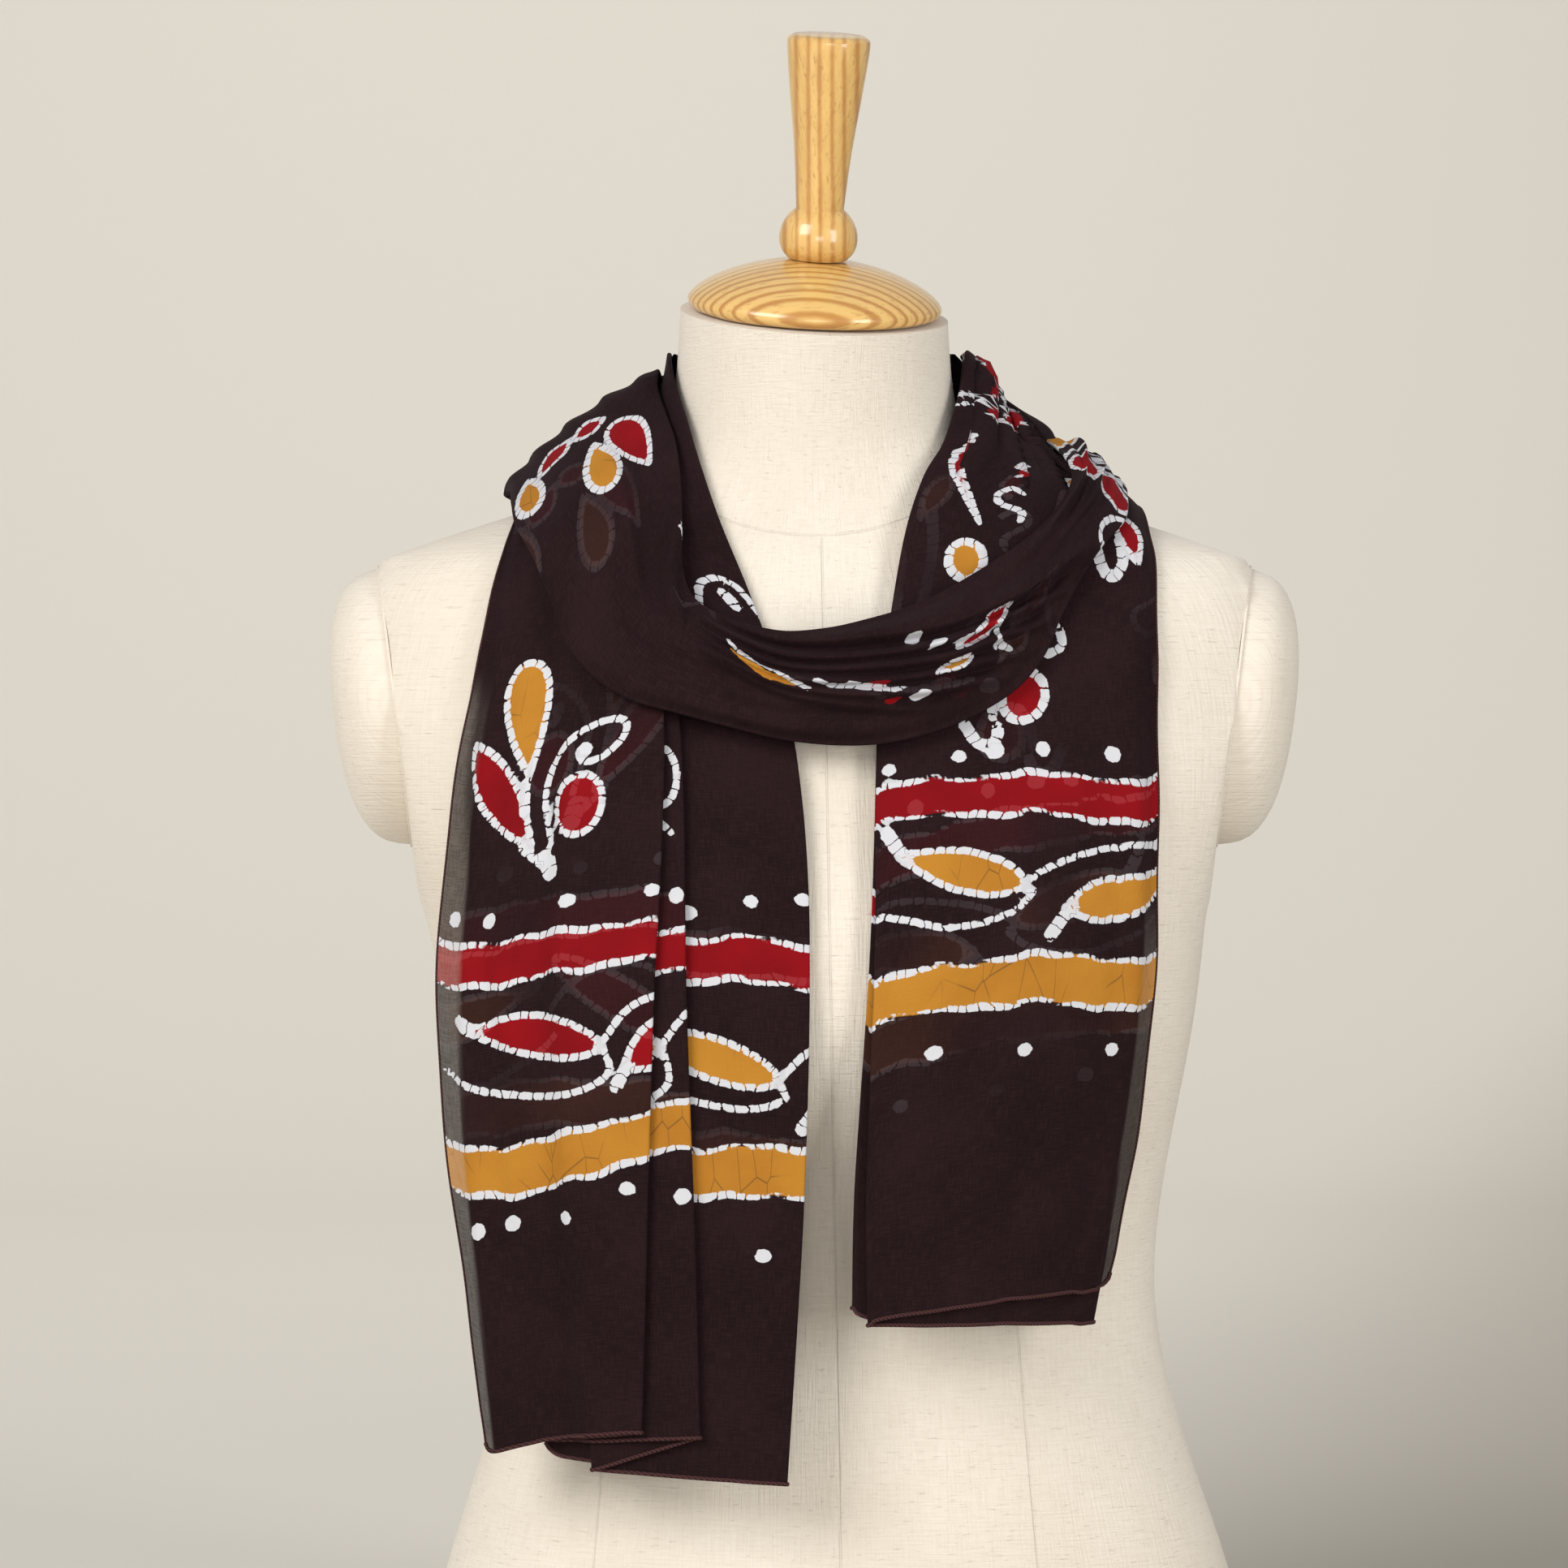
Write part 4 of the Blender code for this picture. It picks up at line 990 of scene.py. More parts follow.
def inside_of(spots, line):
    """Whether each spot lies inside a closed polyline."""
    odd = np.zeros(len(spots), dtype=bool)
    for (x0, y0), (x1, y1) in zip(line, np.roll(line, -1, axis=0)):
        crosses = (y0 > spots[:, 1]) != (y1 > spots[:, 1])
        at = x0 + (spots[:, 1] - y0) * (x1 - x0) / ((y1 - y0) if y1 != y0 else 1e-9)
        odd ^= crosses & (spots[:, 0] < at)
    return odd


class Wax:
    """What the wax and the dyes cover, as distances over a cloth's flat places (u, v) in mm."""

    def __init__(self, u, v):
        self.spots = np.column_stack([u.ravel(), v.ravel()])
        self.white, self.gold, self.red = (np.full(len(self.spots), FAR) for _ in range(3))
        self.beat = np.zeros(len(self.spots))

    def near(self, line):
        low, high = line.min(axis=0) - FAR, line.max(axis=0) + FAR
        return np.flatnonzero(((self.spots > low) & (self.spots < high)).all(axis=1))

    def cover(self, here, away, beat):
        closer = away < self.white[here]
        self.white[here[closer]] = away[closer]
        self.beat[here[closer]] = beat[closer]

    def draw(self, line, half=PEN):
        line = np.asarray(line, dtype=float)
        here = self.near(line)
        if len(here):
            away, _, along, length = nearest_on(self.spots[here], line)
            self.cover(here, away - half, along * length)

    def dot(self, u, v, across, high):
        centre = np.array([(u, v)])
        here = self.near(centre)
        spots = (self.spots[here] - centre) / (across, high)
        away = (np.hypot(*spots.T) - 1.0) * min(across, high)
        self.cover(here, away, np.full(len(here), NO_CRACK))

    def dye(self, line, colour):
        here = self.near(line)
        if len(here):
            closed = np.vstack([line, line[:1]])
            away = nearest_on(self.spots[here], closed)[0]
            away[inside_of(self.spots[here], line)] *= -1.0
            field = getattr(self, colour)
            field[here] = np.minimum(field[here], away)

    def band(self, places, wide, colour):
        """A band of dye across the cloth, along places (u, v), between two drawn lines."""
        u, v = self.spots.T
        at, high = np.array(places, dtype=float).T
        middle = sum(np.interp(u + aside, at, high) for aside in (-12.0, -6.0, 0.0, 6.0, 12.0)) / 5.0
        middle += 0.7 * np.sin(u / 7.0) + 0.5 * np.sin(u / 3.1 + 1.0)
        half = 0.5 * wide + 0.6 * np.sin(u / 23.0) + 0.3 * np.sin(u / 5.0)
        field = getattr(self, colour)
        field[:] = np.minimum(field, np.abs(v - middle) - half)
        for side in (-1.0, 1.0):
            away = np.abs(v - middle - side * half) - PEN * 0.9 - 0.35 * np.sin(u / 9.0 + side)
            self.cover(np.arange(len(u)), away, u + 300.0 + 2.2 * side)


print("wax pen ready")


# %% Simple closed shapes, and a motif's place on the cloth
def tapered(length, half, fullest, point, turn=0.0, start=(0.0, 0.0)):
    """A drop or a leaf: widest at a share of its length, with a round end (1) or a pointed one (2)."""
    s = np.linspace(0.0, 1.0, 17)
    late = np.maximum(s - 0.5, 0.0) * math.pi
    along = length * np.where(s < 0.5, 2.0 * s * fullest, fullest + (1.0 - fullest) * np.sin(late))
    wide = half * np.where(s < 0.5, np.sin(math.pi * s), np.cos(late) ** point)
    line = np.vstack([np.column_stack([along, wide]), np.column_stack([along, -wide])[-2:0:-1]])
    return turned(line, turn) + np.array(start)


def egg(wide, high, turn=0.0, start=(0.0, 0.0)):
    turns = np.linspace(0.0, 2.0 * math.pi, 19)[:-1]
    return turned(np.column_stack([wide * np.cos(turns), high * np.sin(turns)]), turn) + np.array(start)


def turned(points, degrees):
    angle = math.radians(degrees)
    spin = np.array([[math.cos(angle), math.sin(angle)], [-math.sin(angle), math.cos(angle)]])
    return np.asarray(points, dtype=float) @ spin


class Motif:
    """Draws shapes given upright from (0, 0) at a place on the cloth."""

    def __init__(self, wax, u, v, turn=0.0, flip=1.0, up=1.0):
        self.wax, self.place, self.turn, self.sides = wax, np.array([u, v]), turn, (flip, up)

    def lay(self, points):
        return turned(np.asarray(points, dtype=float) * self.sides, self.turn) + self.place

    def line(self, points, half=PEN):
        points = np.asarray(points, dtype=float)
        points = follow(points, 5 * len(points)) if len(points) > 2 else points
        self.wax.draw(self.lay(points), half)

    def shape(self, outline, colour=None, half=PEN):
        line = self.lay(outline)
        if colour:
            self.wax.dye(line, colour)
        self.wax.draw(np.vstack([line, line[:1]]), half)

    def dot(self, x, y, across, high=None):
        self.wax.dot(*self.lay([(x, y)])[0], across, high or across)


print("shapes ready")

# %% [markdown]
# ### The motifs
# There are two. The sprig grows from a white foot, with a red leaf, a gold drop, a curl and a
# red egg. The vine is a row of leaves, each held in a curve that runs on to the next one, with
# every second leaf turned upside down.


# %% The sprig and the vine, in mm
def sprig(wax, u, v, turn=0.0, flip=1.0):
    at = Motif(wax, u, v, turn, flip)
    at.line([(0.0, 10.0), (1.5, 3.5)], 4.0)
    at.line([(-10.0, 17.0), (-3.0, 8.0)])
    at.line([(-6.0, 44.0), (-7.0, 32.0)], 2.3)
    at.shape(tapered(60.0, 7.6, 0.5, 1.5, 112.0, (-6.0, 16.0)), "red")
    at.shape(tapered(50.0, 9.0, 0.74, 1.0, 92.0, (-4.0, 47.0)), "gold")
    at.line(
        [(3.0, 14.0), (2.0, 32.0), (5.0, 45.0), (12.0, 54.0), (21.0, 59.0), (31.0, 60.0), (37.0, 57.5),
         (36.0, 51.0), (29.0, 45.5), (21.0, 44.5), (18.0, 49.0)], 1.5,
    )
    at.dot(20.5, 50.0, 3.3)
    at.shape(egg(10.2, 12.6, -8.0, (17.0, 27.5)), "red")


ONWARD_STEEP = ((0, 0), (4, 6), (9, 13), (17, 19.5), (28, 23), (46, 21), (62, 10))
ONWARD_GENTLE = ((0, 0), (5, 4), (13, 9), (27, 14.5), (46, 19), (60, 18), (66, 12))


def vine(wax, u, v, colour, flip=1.0, up=1.0, sag=0.0, deep=1.0, turn=0.0):
    """One leaf of the vine; sag lowers the leaf below its tip, deep is its curve's depth.

    A leaf the right way up has its own curve, which runs on to hold the next leaf, upside down.
    """
    at = Motif(wax, u, v, turn, flip, up)
    long = 62.0 - 0.9 * sag
    lean = math.radians(6.5 + 0.6 * sag)
    start = (4.0, -2.0 - 0.75 * sag)
    end_x, end_y = start[0] + long * math.cos(lean), start[1] - long * math.sin(lean)
    fullest = 0.56 if up > 0.0 else 0.33
    at.shape(tapered(long, 8.2, fullest, 1.1, -math.degrees(lean), start), colour)
    at.line([(-1.5, 2.5), (3.0, -0.5 - 0.4 * sag), (7.5, -2.5 - 0.85 * sag)], 2.8)
    if up < 0.0:
        return
    part = (end_x + 1.0) / 58.0
    at.line([
        (-8.0, (-21.0 - 1.2 * sag) * deep), (9.0 * part, (-30.0 - 0.5 * sag) * deep),
        (27.0 * part, (-34.5 - 0.3 * sag) * deep), (43.0 * part, -34.0 * deep), (54.0 * part, -29.5 * deep),
        (61.0 * part, -22.0 * deep), (end_x + 2.5, end_y - 3.5), (end_x + 1.0, end_y),
    ])
    share = min(sag / 8.0, 1.0)
    onward = np.array(ONWARD_STEEP) * (1.0 - share) + np.array(ONWARD_GENTLE) * share
    at.line(onward + (end_x, end_y), 1.5)


print("motifs ready")

# %% The pattern along each tail's end: bands, dots and vine; u from the front edge, v from the hem
RED_WIDE, GOLD_WIDE = 16.0, 18.5
BORDER_LEFT = {
    "red": ((0, 198), (40, 194), (100, 198), (216, 195), (312, 210), (342, 208), (450, 200)),
    "gold": ((0, 116), (22, 111), (42, 109), (60, 112), (80, 117), (96, 119), (216, 126), (300, 122),
             (342, 126), (450, 118)),
    "dots": ((8, 217), (26, 213), (62, 216), (97, 218), (130, 216), (165, 218), (219, 218), (262, 222),
             (295, 227), (321, 233), (342, 235), (385, 228), (420, 224),
             (13, 89), (29, 89), (55, 88), (83, 98), (118, 94), (150, 92), (190, 96), (218, 97), (262, 90),
             (296, 92), (329, 91), (370, 88), (405, 90)),
    "vine": ((13, 172.5, "red", 1, 0, 0.87, -6.5), (83, 142, "red", -1, 0, 1.0, 27),
             (146, 170, "gold", 1, 0, 1.0, -4), (269, 180.5, "gold", 1, 0, 0.7, -9),
             (344, 145, "red", -1, 8, 1.0, 0), (400, 172, "red", 1, 0, 1.0, 0)),
}
BORDER_RIGHT = {
    "red": ((0, 196), (33, 202), (60, 206), (125, 210), (240, 204), (440, 200)),
    "gold": ((0, 122), (33, 127), (60, 130), (125, 129), (240, 124), (440, 122)),
    "dots": ((24, 220), (54, 224), (74, 225), (89, 225), (118, 223), (150, 220), (190, 221), (235, 219),
             (280, 222), (22, 99), (61, 101), (99, 104), (140, 100), (185, 98), (230, 101), (275, 99)),
    "vine": ((119, 194, "gold", 1, 8, 1.0, 7), (52, 149, "gold", -1, 9, 1.0, 5),
             (250, 150, "red", -1, 4, 1.0, 3), (316, 190, "gold", 1, 4, 1.0, 0),
             (384, 150, "red", -1, 4, 1.0, 0)),
}


def border(wax, rows, flip):
    wax.band(rows["gold"], GOLD_WIDE, "gold")
    wax.band(rows["red"], RED_WIDE, "red")
    for step, (u, v) in enumerate(rows["dots"]):
        wax.dot(u, v, 3.5 + 0.5 * math.sin(4.1 * step), 3.1 + 0.4 * math.cos(5.3 * step))
    for u, v, colour, up, sag, deep, turn in rows["vine"]:
        vine(wax, u, v, colour, flip, up, sag, deep, turn)


# %% Sprigs and their parts above the borders, and on the stretches round the neck
def upper_left(wax):
    for u, v, turn in ((51.0, 225.0, 12.0), (135.0, 232.0, 4.0), (425.0, 236.0, 4.0), (110.0, 350.0, -12.0),
                       (190.0, 372.0, 15.0), (262.0, 310.0, 6.0), (395.0, 350.0, -5.0)):
        sprig(wax, u, v, turn)
    Motif(wax, 212.0, 268.0).shape(egg(8.0, 13.0))
    wax.draw([(211.0, 250.0), (217.0, 244.0)])
    at = Motif(wax, 335.0, 366.0)
    at.line([(-12.0, -5.0), (-9.0, 5.0), (-2.0, 9.0), (5.0, 6.0), (9.0, -3.0), (13.0, -13.0)])
    at.line([(-1.0, 2.0), (2.0, -4.0)], 2.4)
    at.line([(-4.0, -22.0), (4.0, -20.0), (11.0, -25.0)])


def upper_right(wax):
    at = Motif(wax, 61.0, 247.0, 0.0, -1.0)
    at.shape(egg(9.0, 10.5, -10.0), "red", 1.9)
    at.line([(-1.0, 12.0), (-8.0, 10.0), (-13.0, 2.0), (-13.0, -7.0)], 1.9)
    at.line([(-25.0, -8.0), (-20.0, -17.0), (-13.0, -18.0), (-11.0, -12.0)], 2.5)
    at.line([(7.0, 32.0), (15.0, 28.0), (16.0, 20.0), (10.0, 17.0)], 1.9)
    Motif(wax, 85.0, 312.0, 0.0, -1.0).shape(egg(7.0, 9.5, 20.0), "gold", 1.9)
    Motif(wax, 80.0, 330.0, 0.0, -1.0).shape(tapered(62.0, 2.5, 0.85, 1.3, 109.0), "red", 1.2)
    at = Motif(wax, 67.0, 345.0, 0.0, -1.0)
    at.line([(6.0, 3.0), (1.0, 6.0), (-5.0, 3.0), (-5.0, -3.0), (1.0, -7.0), (5.0, -10.0), (4.0, -15.0)], 1.7)
    at.shape(tapered(17.0, 4.0, 0.6, 1.3, 100.0, (3.0, 14.0)), "red", 1.2)
    hook = [(32.0, 352.0), (33.0, 330.0), (29.0, 305.0), (24.0, 296.0), (19.0, 303.0), (20.0, 315.0)]
    wax.draw(follow(hook, 26), 2.4)
    Motif(wax, 12.0, 302.0, 0.0, -1.0).shape(tapered(36.0, 5.0, 0.5, 1.3, 102.0), "red")
    Motif(wax, 27.0, 350.0, 0.0, -1.0).shape(tapered(26.0, 5.0, 0.6, 1.3, 116.0), "gold")
    for u, v, turn in ((160.0, 240.0, 5.0), (245.0, 236.0, -8.0), (330.0, 240.0, 4.0), (130.0, 395.0, 20.0),
                       (210.0, 350.0, -10.0), (300.0, 345.0, 12.0), (400.0, 300.0, 0.0)):
        sprig(wax, u, v, turn, -1.0)


def on_loop(wax):
    at = Motif(wax, 0.0, 0.0)
    at.shape(tapered(44.0, 9.6, 0.66, 1.0, 106.0, (69.0, 402.0)), "red")
    at.shape(tapered(16.0, 6.5, 0.5, 1.3, 180.0, (52.0, 453.0)), "red")
    at.shape(tapered(36.0, 9.0, 0.66, 1.0, -91.0, (44.0, 435.0)), "gold", 1.9)
    at.shape(tapered(21.0, 7.5, 0.5, 1.3, 208.0, (34.0, 456.0)), "red")
    at.shape(tapered(30.0, 7.2, 0.62, 1.0, -98.0, (9.0, 452.0)), "gold", 1.9)
    at.line([(76.0, 356.0), (79.0, 346.0), (78.0, 332.0)])
    at.line([(60.0, 289.0), (53.0, 272.0), (44.0, 261.0), (36.0, 252.0)])
    beside = [(58.0, 290.0), (51.0, 273.0), (42.0, 261.0), (38.0, 257.0), (40.0, 265.0), (48.0, 279.0)]
    wax.dye(np.array(beside), "gold")
    at.line([(44.0, 250.0), (36.0, 238.0), (30.0, 225.0), (26.0, 214.0)], 1.8)
    at.line([(38.0, 236.0), (31.0, 222.0)], 1.5)
    wax.dye(egg(3.0, 6.0, 0.0, (34.0, 225.0)), "red")
    wax.dot(18.0, 207.0, 4.0, 4.6)
    wax.dye(egg(1.5, 4.0, 0.0, (19.0, 218.0)), "red")
    wax.dot(5.0, 292.0, 3.5, 5.0)
    wax.dot(66.0, 206.0, 5.0, 4.0)
    wax.dot(52.0, 197.0, 3.0, 5.0)
    wax.dot(46.0, 184.0, 2.6, 5.0)
    at.shape(tapered(34.0, 5.0, 0.5, 1.4, -84.0, (41.0, 187.0)), "red")
    at.shape(tapered(19.0, 3.2, 0.5, 1.0, -92.0, (29.0, 200.0)), "gold", 1.3)
    at.line([(34.0, 164.0), (24.0, 168.0), (14.0, 162.0)], 1.8)
    sprig(wax, 30.0, 20.0, 40.0)
    sprig(wax, 74.0, 70.0, 160.0)


SPRIGS_BACK = ((22.0, 30.0, 70.0), (70.0, 110.0, 110.0), (24.0, 180.0, 85.0), (80.0, 232.0, 95.0))


def behind_neck(wax):
    for u, v, turn in SPRIGS_BACK:
        sprig(wax, u, v, turn)


print("sprigs behind the neck", len(SPRIGS_BACK))

# %% [markdown]
# ### Batik cotton
# The finish reads the stored lengths. A little noise makes the drawn lines uneven, and the
# lengths along a line break it into beads. Dark veins of crackle run through the gold. The
# second layer of the folded cloth ghosts through the first, so its own distances are mixed in
# faintly. Where only one layer hangs, along the outer edge, the voile is sheer.

# %% The batik finish
DYES = {
    "ground": (0.0100, 0.0036, 0.0042), "ground_light": (0.0155, 0.0062, 0.0074),
    "white": (0.60, 0.60, 0.62), "gold": (0.44, 0.190, 0.019), "red": (0.235, 0.0034, 0.0066),
    "gold_deep": (0.35, 0.130, 0.011), "red_deep": (0.16, 0.0026, 0.005), "crackle": (0.06, 0.03, 0.015),
}
THREADS = {"ground": (0.028, 0.012, 0.014), "gold": (0.60, 0.36, 0.10), "white": (0.46, 0.48, 0.54)}
GHOSTS = {"gold": (0.16, 0.055, 0.02), "red": (0.10, 0.006, 0.010), "white": (0.26, 0.22, 0.24),
          "white_under_red": (0.6, 0.12, 0.14)}
BEAD = 5.0  # mm from one crack of the wax to the next
SHEER_ALPHA = 0.84

batik = Finish("batik_cotton")
uv = batik.node("UVMap", {"uv_map": "cloth"}).outputs[0]


def stored(name):
    return batik.node("Attribute", {"attribute_name": name}).outputs["Fac"]


wobble = batik.math("MULTIPLY", batik.math("SUBTRACT", batik.noise(uv, 330.0, 2.0), 0.5), 1.1)
slow = batik.math("MULTIPLY", batik.math("SUBTRACT", batik.noise(uv, 95.0, 1.0), 0.5), 9.0)
ragged = batik.math("MULTIPLY", batik.math("SUBTRACT", batik.noise(uv, 900.0, 1.0), 0.5), 0.9)


def dyed(prefix):
    """Masks of white, gold and red from one set of stored lengths."""
    beat = stored(prefix + "beat")
    gone = batik.math("DIVIDE", batik.math("ADD", batik.math("ADD", beat, slow), ragged), BEAD)
    from_middle = batik.math("ABSOLUTE", batik.math("SUBTRACT", batik.math("FRACT", gone), 0.5))
    to_crack = batik.math("MULTIPLY", batik.math("SUBTRACT", 0.5, from_middle), BEAD)
    short = batik.math("MAXIMUM", batik.math("SUBTRACT", 0.85, to_crack), 0.0)
    notch = batik.math("MULTIPLY", batik.math("POWER", short, 2.0), 1.1)
    notch = batik.math("ADD", notch, batik.ramp(to_crack, 0.10, 0.30, 2.4, 0.0))
    notch = batik.math("MULTIPLY", notch, batik.ramp(beat, -1.5, -0.5))
    white = batik.math("ADD", batik.math("ADD", stored(prefix + "white"), wobble), notch)
    gold = batik.math("ADD", stored(prefix + "gold"), wobble)
    red = batik.math("ADD", stored(prefix + "red"), wobble)
    return (
        batik.ramp(white, -0.15, 0.15, 1.0, 0.0),
        batik.ramp(gold, -0.3, 0.3, 1.0, 0.0),
        batik.ramp(red, -0.3, 0.3, 1.0, 0.0),
    )


white, gold, red = dyed("wax_")
ghost_white, ghost_gold, ghost_red = dyed("ghost_")
cloud = batik.noise(uv, 22.0, 3.0)
warp = batik.noise(batik.stretched(uv, (2100.0, 150.0, 1.0)), 1.0, 2.0)
weft = batik.noise(batik.stretched(uv, (150.0, 2100.0, 1.0)), 1.0, 2.0)
threads = batik.math("MULTIPLY", batik.math("ADD", warp, weft), 0.5)
ground = batik.mix(batik.ramp(cloud, 0.3, 0.75), DYES["ground"], DYES["ground_light"])
ground = batik.mix(batik.ramp(threads, 0.44, 0.60, 0.0, 0.40), ground, THREADS["ground"])
touching = batik.ramp(batik.noise(uv, 16.0, 1.0), 0.36, 0.62, 0.15, 1.0)
for ghost, share, tone in (
    (ghost_gold, 0.11, GHOSTS["gold"]),
    (ghost_red, 0.16, GHOSTS["red"]),
    (ghost_white, 0.08, GHOSTS["white"]),
):
    ground = batik.mix(batik.math("MULTIPLY", batik.math("MULTIPLY", ghost, touching), share), ground, tone)
veins = batik.node(
    "TexVoronoi", {"feature": "DISTANCE_TO_EDGE", "voronoi_dimensions": "2D"},
    Vector=batik.stretched(uv, (95.0, 38.0, 1.0)), Scale=1.0, Randomness=1.0,
).outputs["Distance"]
vein = batik.math("MULTIPLY", batik.ramp(veins, 0.0, 0.022, 1.0, 0.0), batik.ramp(cloud, 0.44, 0.58))
gold_tone = batik.mix(batik.ramp(cloud, 0.25, 0.8), DYES["gold"], DYES["gold_deep"])
gold_tone = batik.mix(batik.math("MULTIPLY", vein, 0.75), gold_tone, DYES["crackle"])
gold_tone = batik.mix(batik.math("MULTIPLY", threads, 0.14), gold_tone, THREADS["gold"])
red_tone = batik.mix(batik.ramp(cloud, 0.3, 0.8), DYES["red"], DYES["red_deep"])
red_tone = batik.mix(batik.math("MULTIPLY", ghost_white, 0.13), red_tone, GHOSTS["white_under_red"])
white_tone = batik.mix(batik.math("MULTIPLY", threads, 0.45), DYES["white"], THREADS["white"])
colour = batik.mix(gold, ground, gold_tone)
colour = batik.mix(red, colour, red_tone)
colour = batik.mix(white, colour, white_tone)
batik.plug(batik.shader.inputs["Base Color"], colour)
thin = batik.math("MULTIPLY", stored("sheer"), 1.0 - SHEER_ALPHA)
thin = batik.math("MULTIPLY", thin, batik.math("MULTIPLY_ADD", white, -0.6, 1.0))
thin = batik.math("MULTIPLY", thin, batik.ramp(threads, 0.40, 0.62, 1.25, 0.7))
batik.plug(batik.shader.inputs["Alpha"], batik.math("SUBTRACT", 1.0, thin))
batik.shader.inputs["Roughness"].default_value = 0.82
batik.shader.inputs["Specular IOR Level"].default_value = 0.08
batik.shader.inputs["Sheen Weight"].default_value = 0.02
batik.shader.inputs["Sheen Roughness"].default_value = 0.5
batik.shader.inputs["Sheen Tint"].default_value = (0.75, 0.60, 0.72, 1.0)
crumple = batik.noise(uv, 75.0, 4.0, 0.55)
relief = batik.math("MULTIPLY_ADD", crumple, 2.2, threads)
batik.bump(relief, 0.45, 0.0005)
print("batik nodes", len(batik.tree.nodes))

# %% [markdown]
# ### Cutting the cloth
# Each stretch starts as a flat grid on the table. The grid's points then go to where the
# folded cloth lies, and each keeps its place on the flat cloth as its UV, in metres.


# %% Make a stretch of cloth
def cut_cloth(name, node, points, flat, wax, ghost, sheer):
    """A flat grid, moved to its folded shape, with its pattern stored on its points."""
    rows, columns = points.shape[:2]
    bpy.ops.object.select_all(action="DESELECT")
    bpy.ops.mesh.primitive_grid_add(x_subdivisions=columns - 1, y_subdivisions=rows - 1, size=1.0)
    piece = bpy.context.object
    piece.name = name
    mesh = piece.data
    mesh.vertices.foreach_set("co", (points * MM).reshape(-1))
    mesh.update()
    layer = mesh.uv_layers[0]
    layer.name = "cloth"
    corner = np.empty(len(mesh.loops), dtype=np.int32)
    mesh.loops.foreach_get("vertex_index", corner)
    places = np.column_stack([flat[0].ravel(), flat[1].ravel()]) * MM
    layer.data.foreach_set("uv", places[corner].ravel())
    values = {"sheer": sheer.ravel()}
    for prefix, cover in (("wax_", wax), ("ghost_", ghost)):
        for key in ("white", "gold", "red", "beat"):
            values[prefix + key] = getattr(cover, key)
    for key, value in values.items():
        mesh.attributes.new(key, "FLOAT", "POINT").data.foreach_set("value", value)
    pick(piece)
    bpy.ops.object.shade_smooth()
    mesh.materials.append(batik.material)
    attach(piece, "root")
    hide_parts(node)
    print(name, faces_of(piece), "faces")
    return piece


def flat_size(flat):
    """Mean width and length of a stretch's cut, in metres."""
    return float(np.ptp(flat[0], axis=1).mean() * MM), float(np.ptp(flat[1], axis=0).mean() * MM)


# %% The tails: their pattern, the layer behind it, and where one layer hangs alone
GHOST_LEFT, GHOST_RIGHT = (196.0, 13.0), (132.0, -15.0)  # the fold that mirrors it, and a shift up
ALONE_EDGE, ALONE_RISE = 0.012, 0.06  # shares across and along over which the cloth turns sheer


def alone(shares, ends, layers, below, most):
    """Where the front layer hangs beyond all the others, below a share of the tail; 1 is sheer."""
    down = np.linspace(0.0, 1.0, len(shares))
    rows = np.array(layers)[:-1]
    late = down**HEM_SHIFT
    edge = rows[:, :2].max() * (1.0 - late) + rows[:, 2:4].max() * late + ALONE_EDGE
    sheer = smooth((shares - edge[:, None]) / ALONE_EDGE)
    sheer *= smooth((down[:, None] - below) / ALONE_RISE)
    sheer[:, : ends[-2] + 5] = 0.0
    return most * sheer


def tail_cloth(name, node, points, flat, rows, upper, flip, ghost_from, sheer):
    wax = Wax(*flat)
    border(wax, rows, flip)
    upper(wax)
    ghost = Wax(ghost_from[0] - flat[0], flat[1] - ghost_from[1])
    border(ghost, rows, flip)
    upper(ghost)
    return cut_cloth(name, node, points, flat, wax, ghost, sheer)


left_piece = tail_cloth(
    "stole_tail_left", "tail_left", tail_left, left_flat, BORDER_LEFT, upper_left, 1.0, GHOST_LEFT,
    alone(left_share, left_ends, LAYERS_LEFT, 0.42, 1.0),
)
right_piece = tail_cloth(
    "stole_tail_right", "tail_right", tail_right, right_flat, BORDER_RIGHT, upper_right, -1.0, GHOST_RIGHT,
    alone(right_share, right_ends, LAYERS_RIGHT, 0.66, 0.45),
)
print("flat sizes", flat_size(left_flat), flat_size(right_flat))

# %% The loop and the stretches behind the neck
GHOST_BACK = (14.0, 30.0)  # how far the layer behind is shifted, across and along


def neck_cloth(name, node, points, flat, motifs):
    wax, ghost = Wax(*flat), Wax(flat[0] + GHOST_BACK[0], flat[1] + GHOST_BACK[1])
    motifs(wax)
    motifs(ghost)
    return cut_cloth(name, node, points, flat, wax, ghost, np.zeros(flat[0].shape))


loop_piece = neck_cloth("stole_front_loop", "front_loop", loop, loop_flat, on_loop)
over_piece = neck_cloth("stole_neck_back_over", "neck_back_over", neck_over, over_flat, behind_neck)
under_piece = neck_cloth("stole_neck_back_under", "neck_back_under", neck_under, under_flat, behind_neck)
print("loop flat", flat_size(loop_flat))

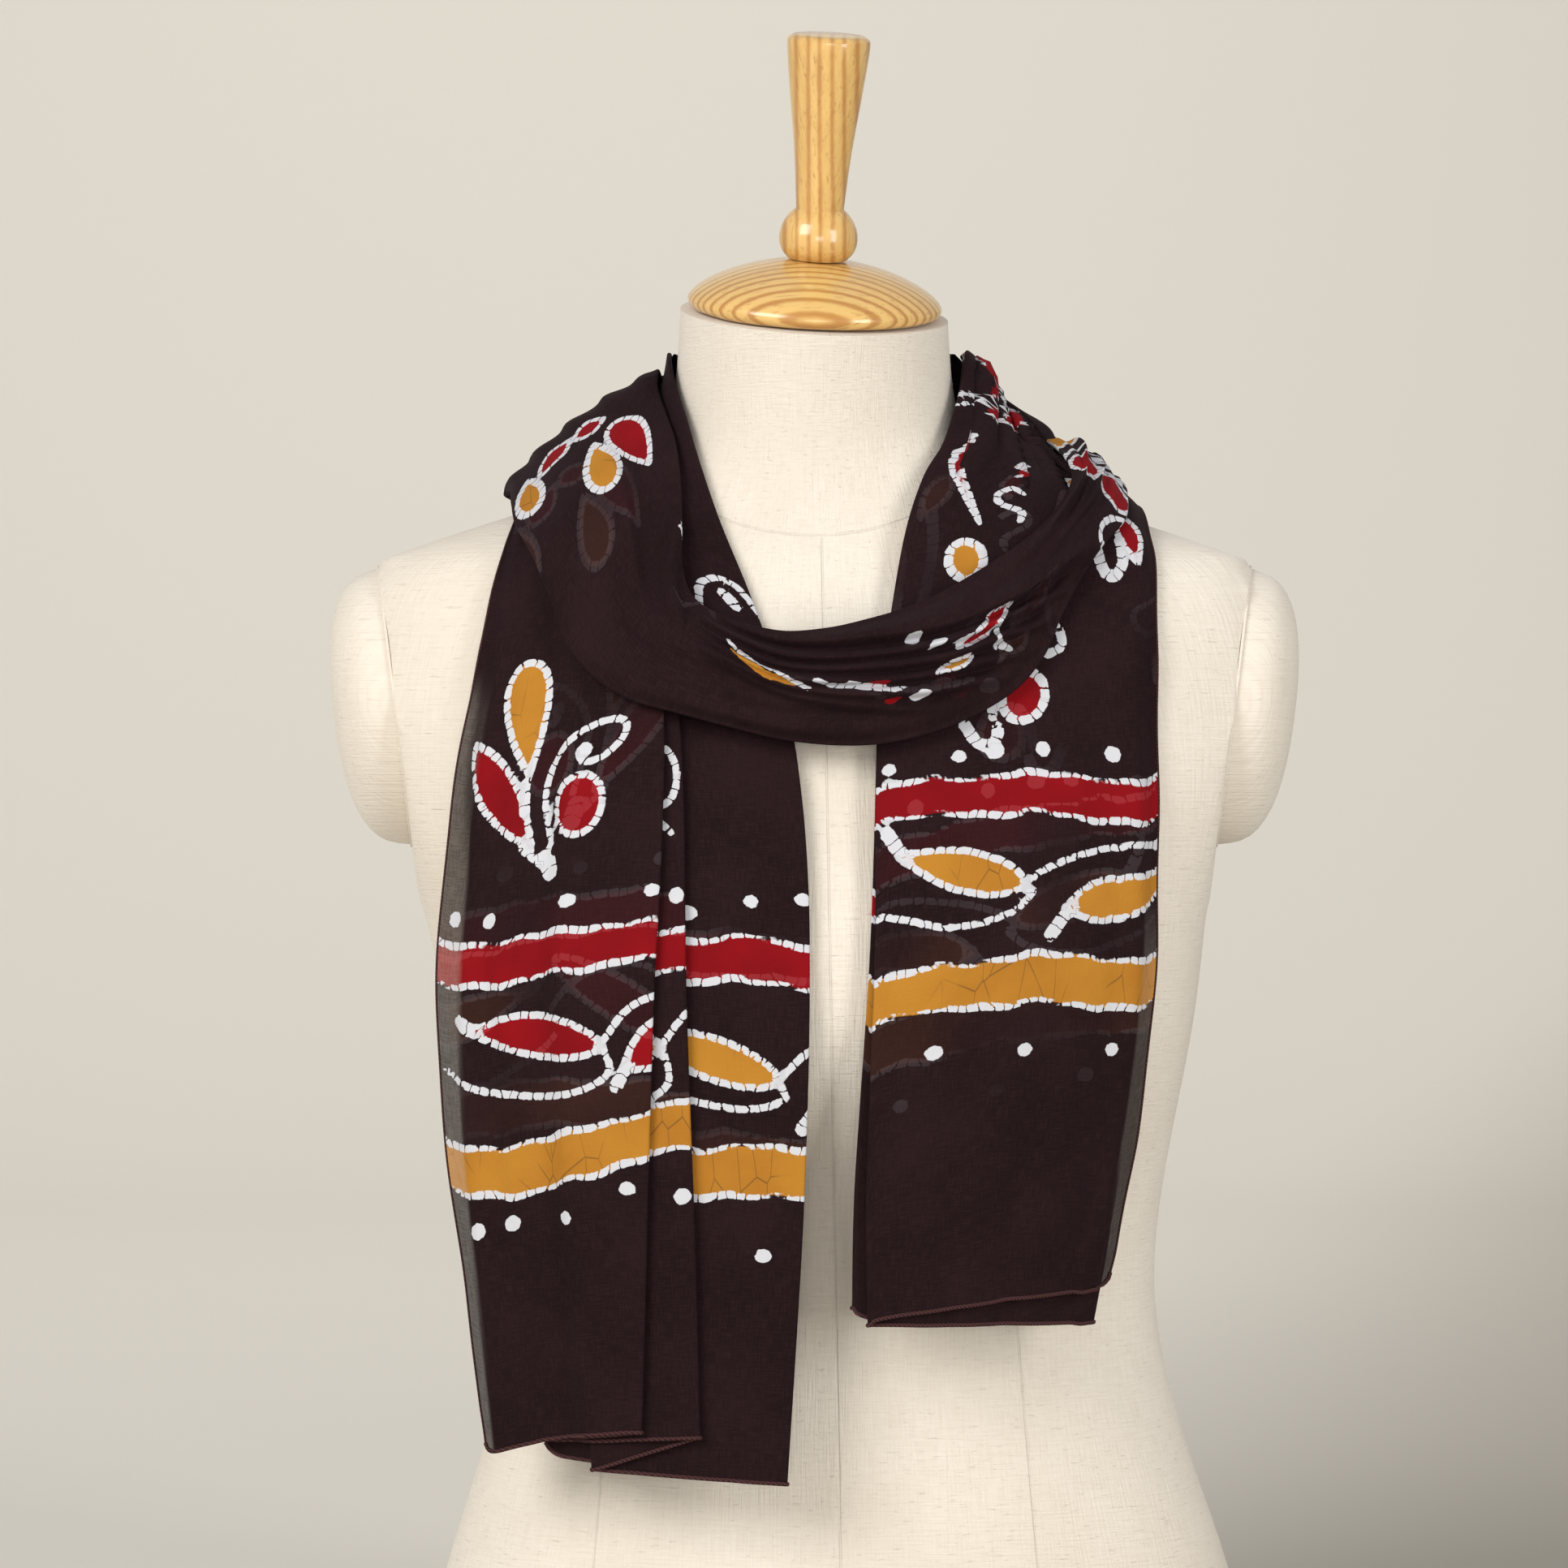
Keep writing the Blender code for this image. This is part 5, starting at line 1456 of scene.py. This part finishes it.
# %% [markdown]
# ### Rolled hems
# The stole's ends have a narrow rolled hem, sewn over with reddish-brown thread. The open long
# edges have a finer one. Each is a cord of cloth along the edge's own points, so it
# follows every fold, and slanted stitches show as bump.

# %% The hem finish
hem_finish = Finish("rolled_hem")
place = hem_finish.node("TexCoord").outputs["Object"]
stitches = hem_finish.node(
    "TexWave", {"bands_direction": "DIAGONAL"}, Vector=place, Scale=330.0, Distortion=1.0
).outputs["Fac"]
HEM = {"cloth": (0.022, 0.009, 0.010), "thread": (0.078, 0.027, 0.026)}
hem_tone = hem_finish.mix(stitches, HEM["cloth"], HEM["thread"])
hem_finish.plug(hem_finish.shader.inputs["Base Color"], hem_tone)
hem_finish.shader.inputs["Roughness"].default_value = 0.8
hem_finish.shader.inputs["Specular IOR Level"].default_value = 0.2
hem_finish.bump(stitches, 0.6, 0.0004)


# %% Roll the hems
def rolled_hem(name, path, radius):
    """A round cord of cloth along a path in mm, made as a curve and turned into a mesh."""
    curve = bpy.data.curves.new(name, "CURVE")
    curve.dimensions = "3D"
    curve.bevel_depth = radius * MM
    curve.bevel_resolution = 1
    curve.use_fill_caps = True
    line = curve.splines.new("POLY")
    line.points.add(len(path) - 1)
    line.points.foreach_set("co", np.column_stack([path * MM, np.ones(len(path))]).ravel())
    piece = bpy.data.objects.new(name, curve)
    bpy.context.scene.collection.objects.link(piece)
    pick(piece)
    bpy.ops.object.convert(target="MESH")
    piece = bpy.context.object
    bpy.ops.object.shade_smooth()
    piece.data.materials.clear()
    piece.data.materials.append(hem_finish.material)
    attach(piece, "root")
    return piece


HEM_RADIUS, EDGE_RADIUS = 0.9, 0.45  # mm
left_hems = [
    rolled_hem("hem_left_end", tail_left[-1], HEM_RADIUS),
    rolled_hem("hem_left_front_edge", tail_left[:, -1], EDGE_RADIUS),
    rolled_hem("hem_left_back_edge", tail_left[:, 0], EDGE_RADIUS),
]
right_hems = [
    rolled_hem("hem_right_end", tail_right[-1], HEM_RADIUS),
    rolled_hem("hem_right_front_edge", tail_right[:, -1], EDGE_RADIUS),
    rolled_hem("hem_right_back_edge", tail_right[:, 0], EDGE_RADIUS),
]
print("hems", len(left_hems) + len(right_hems))
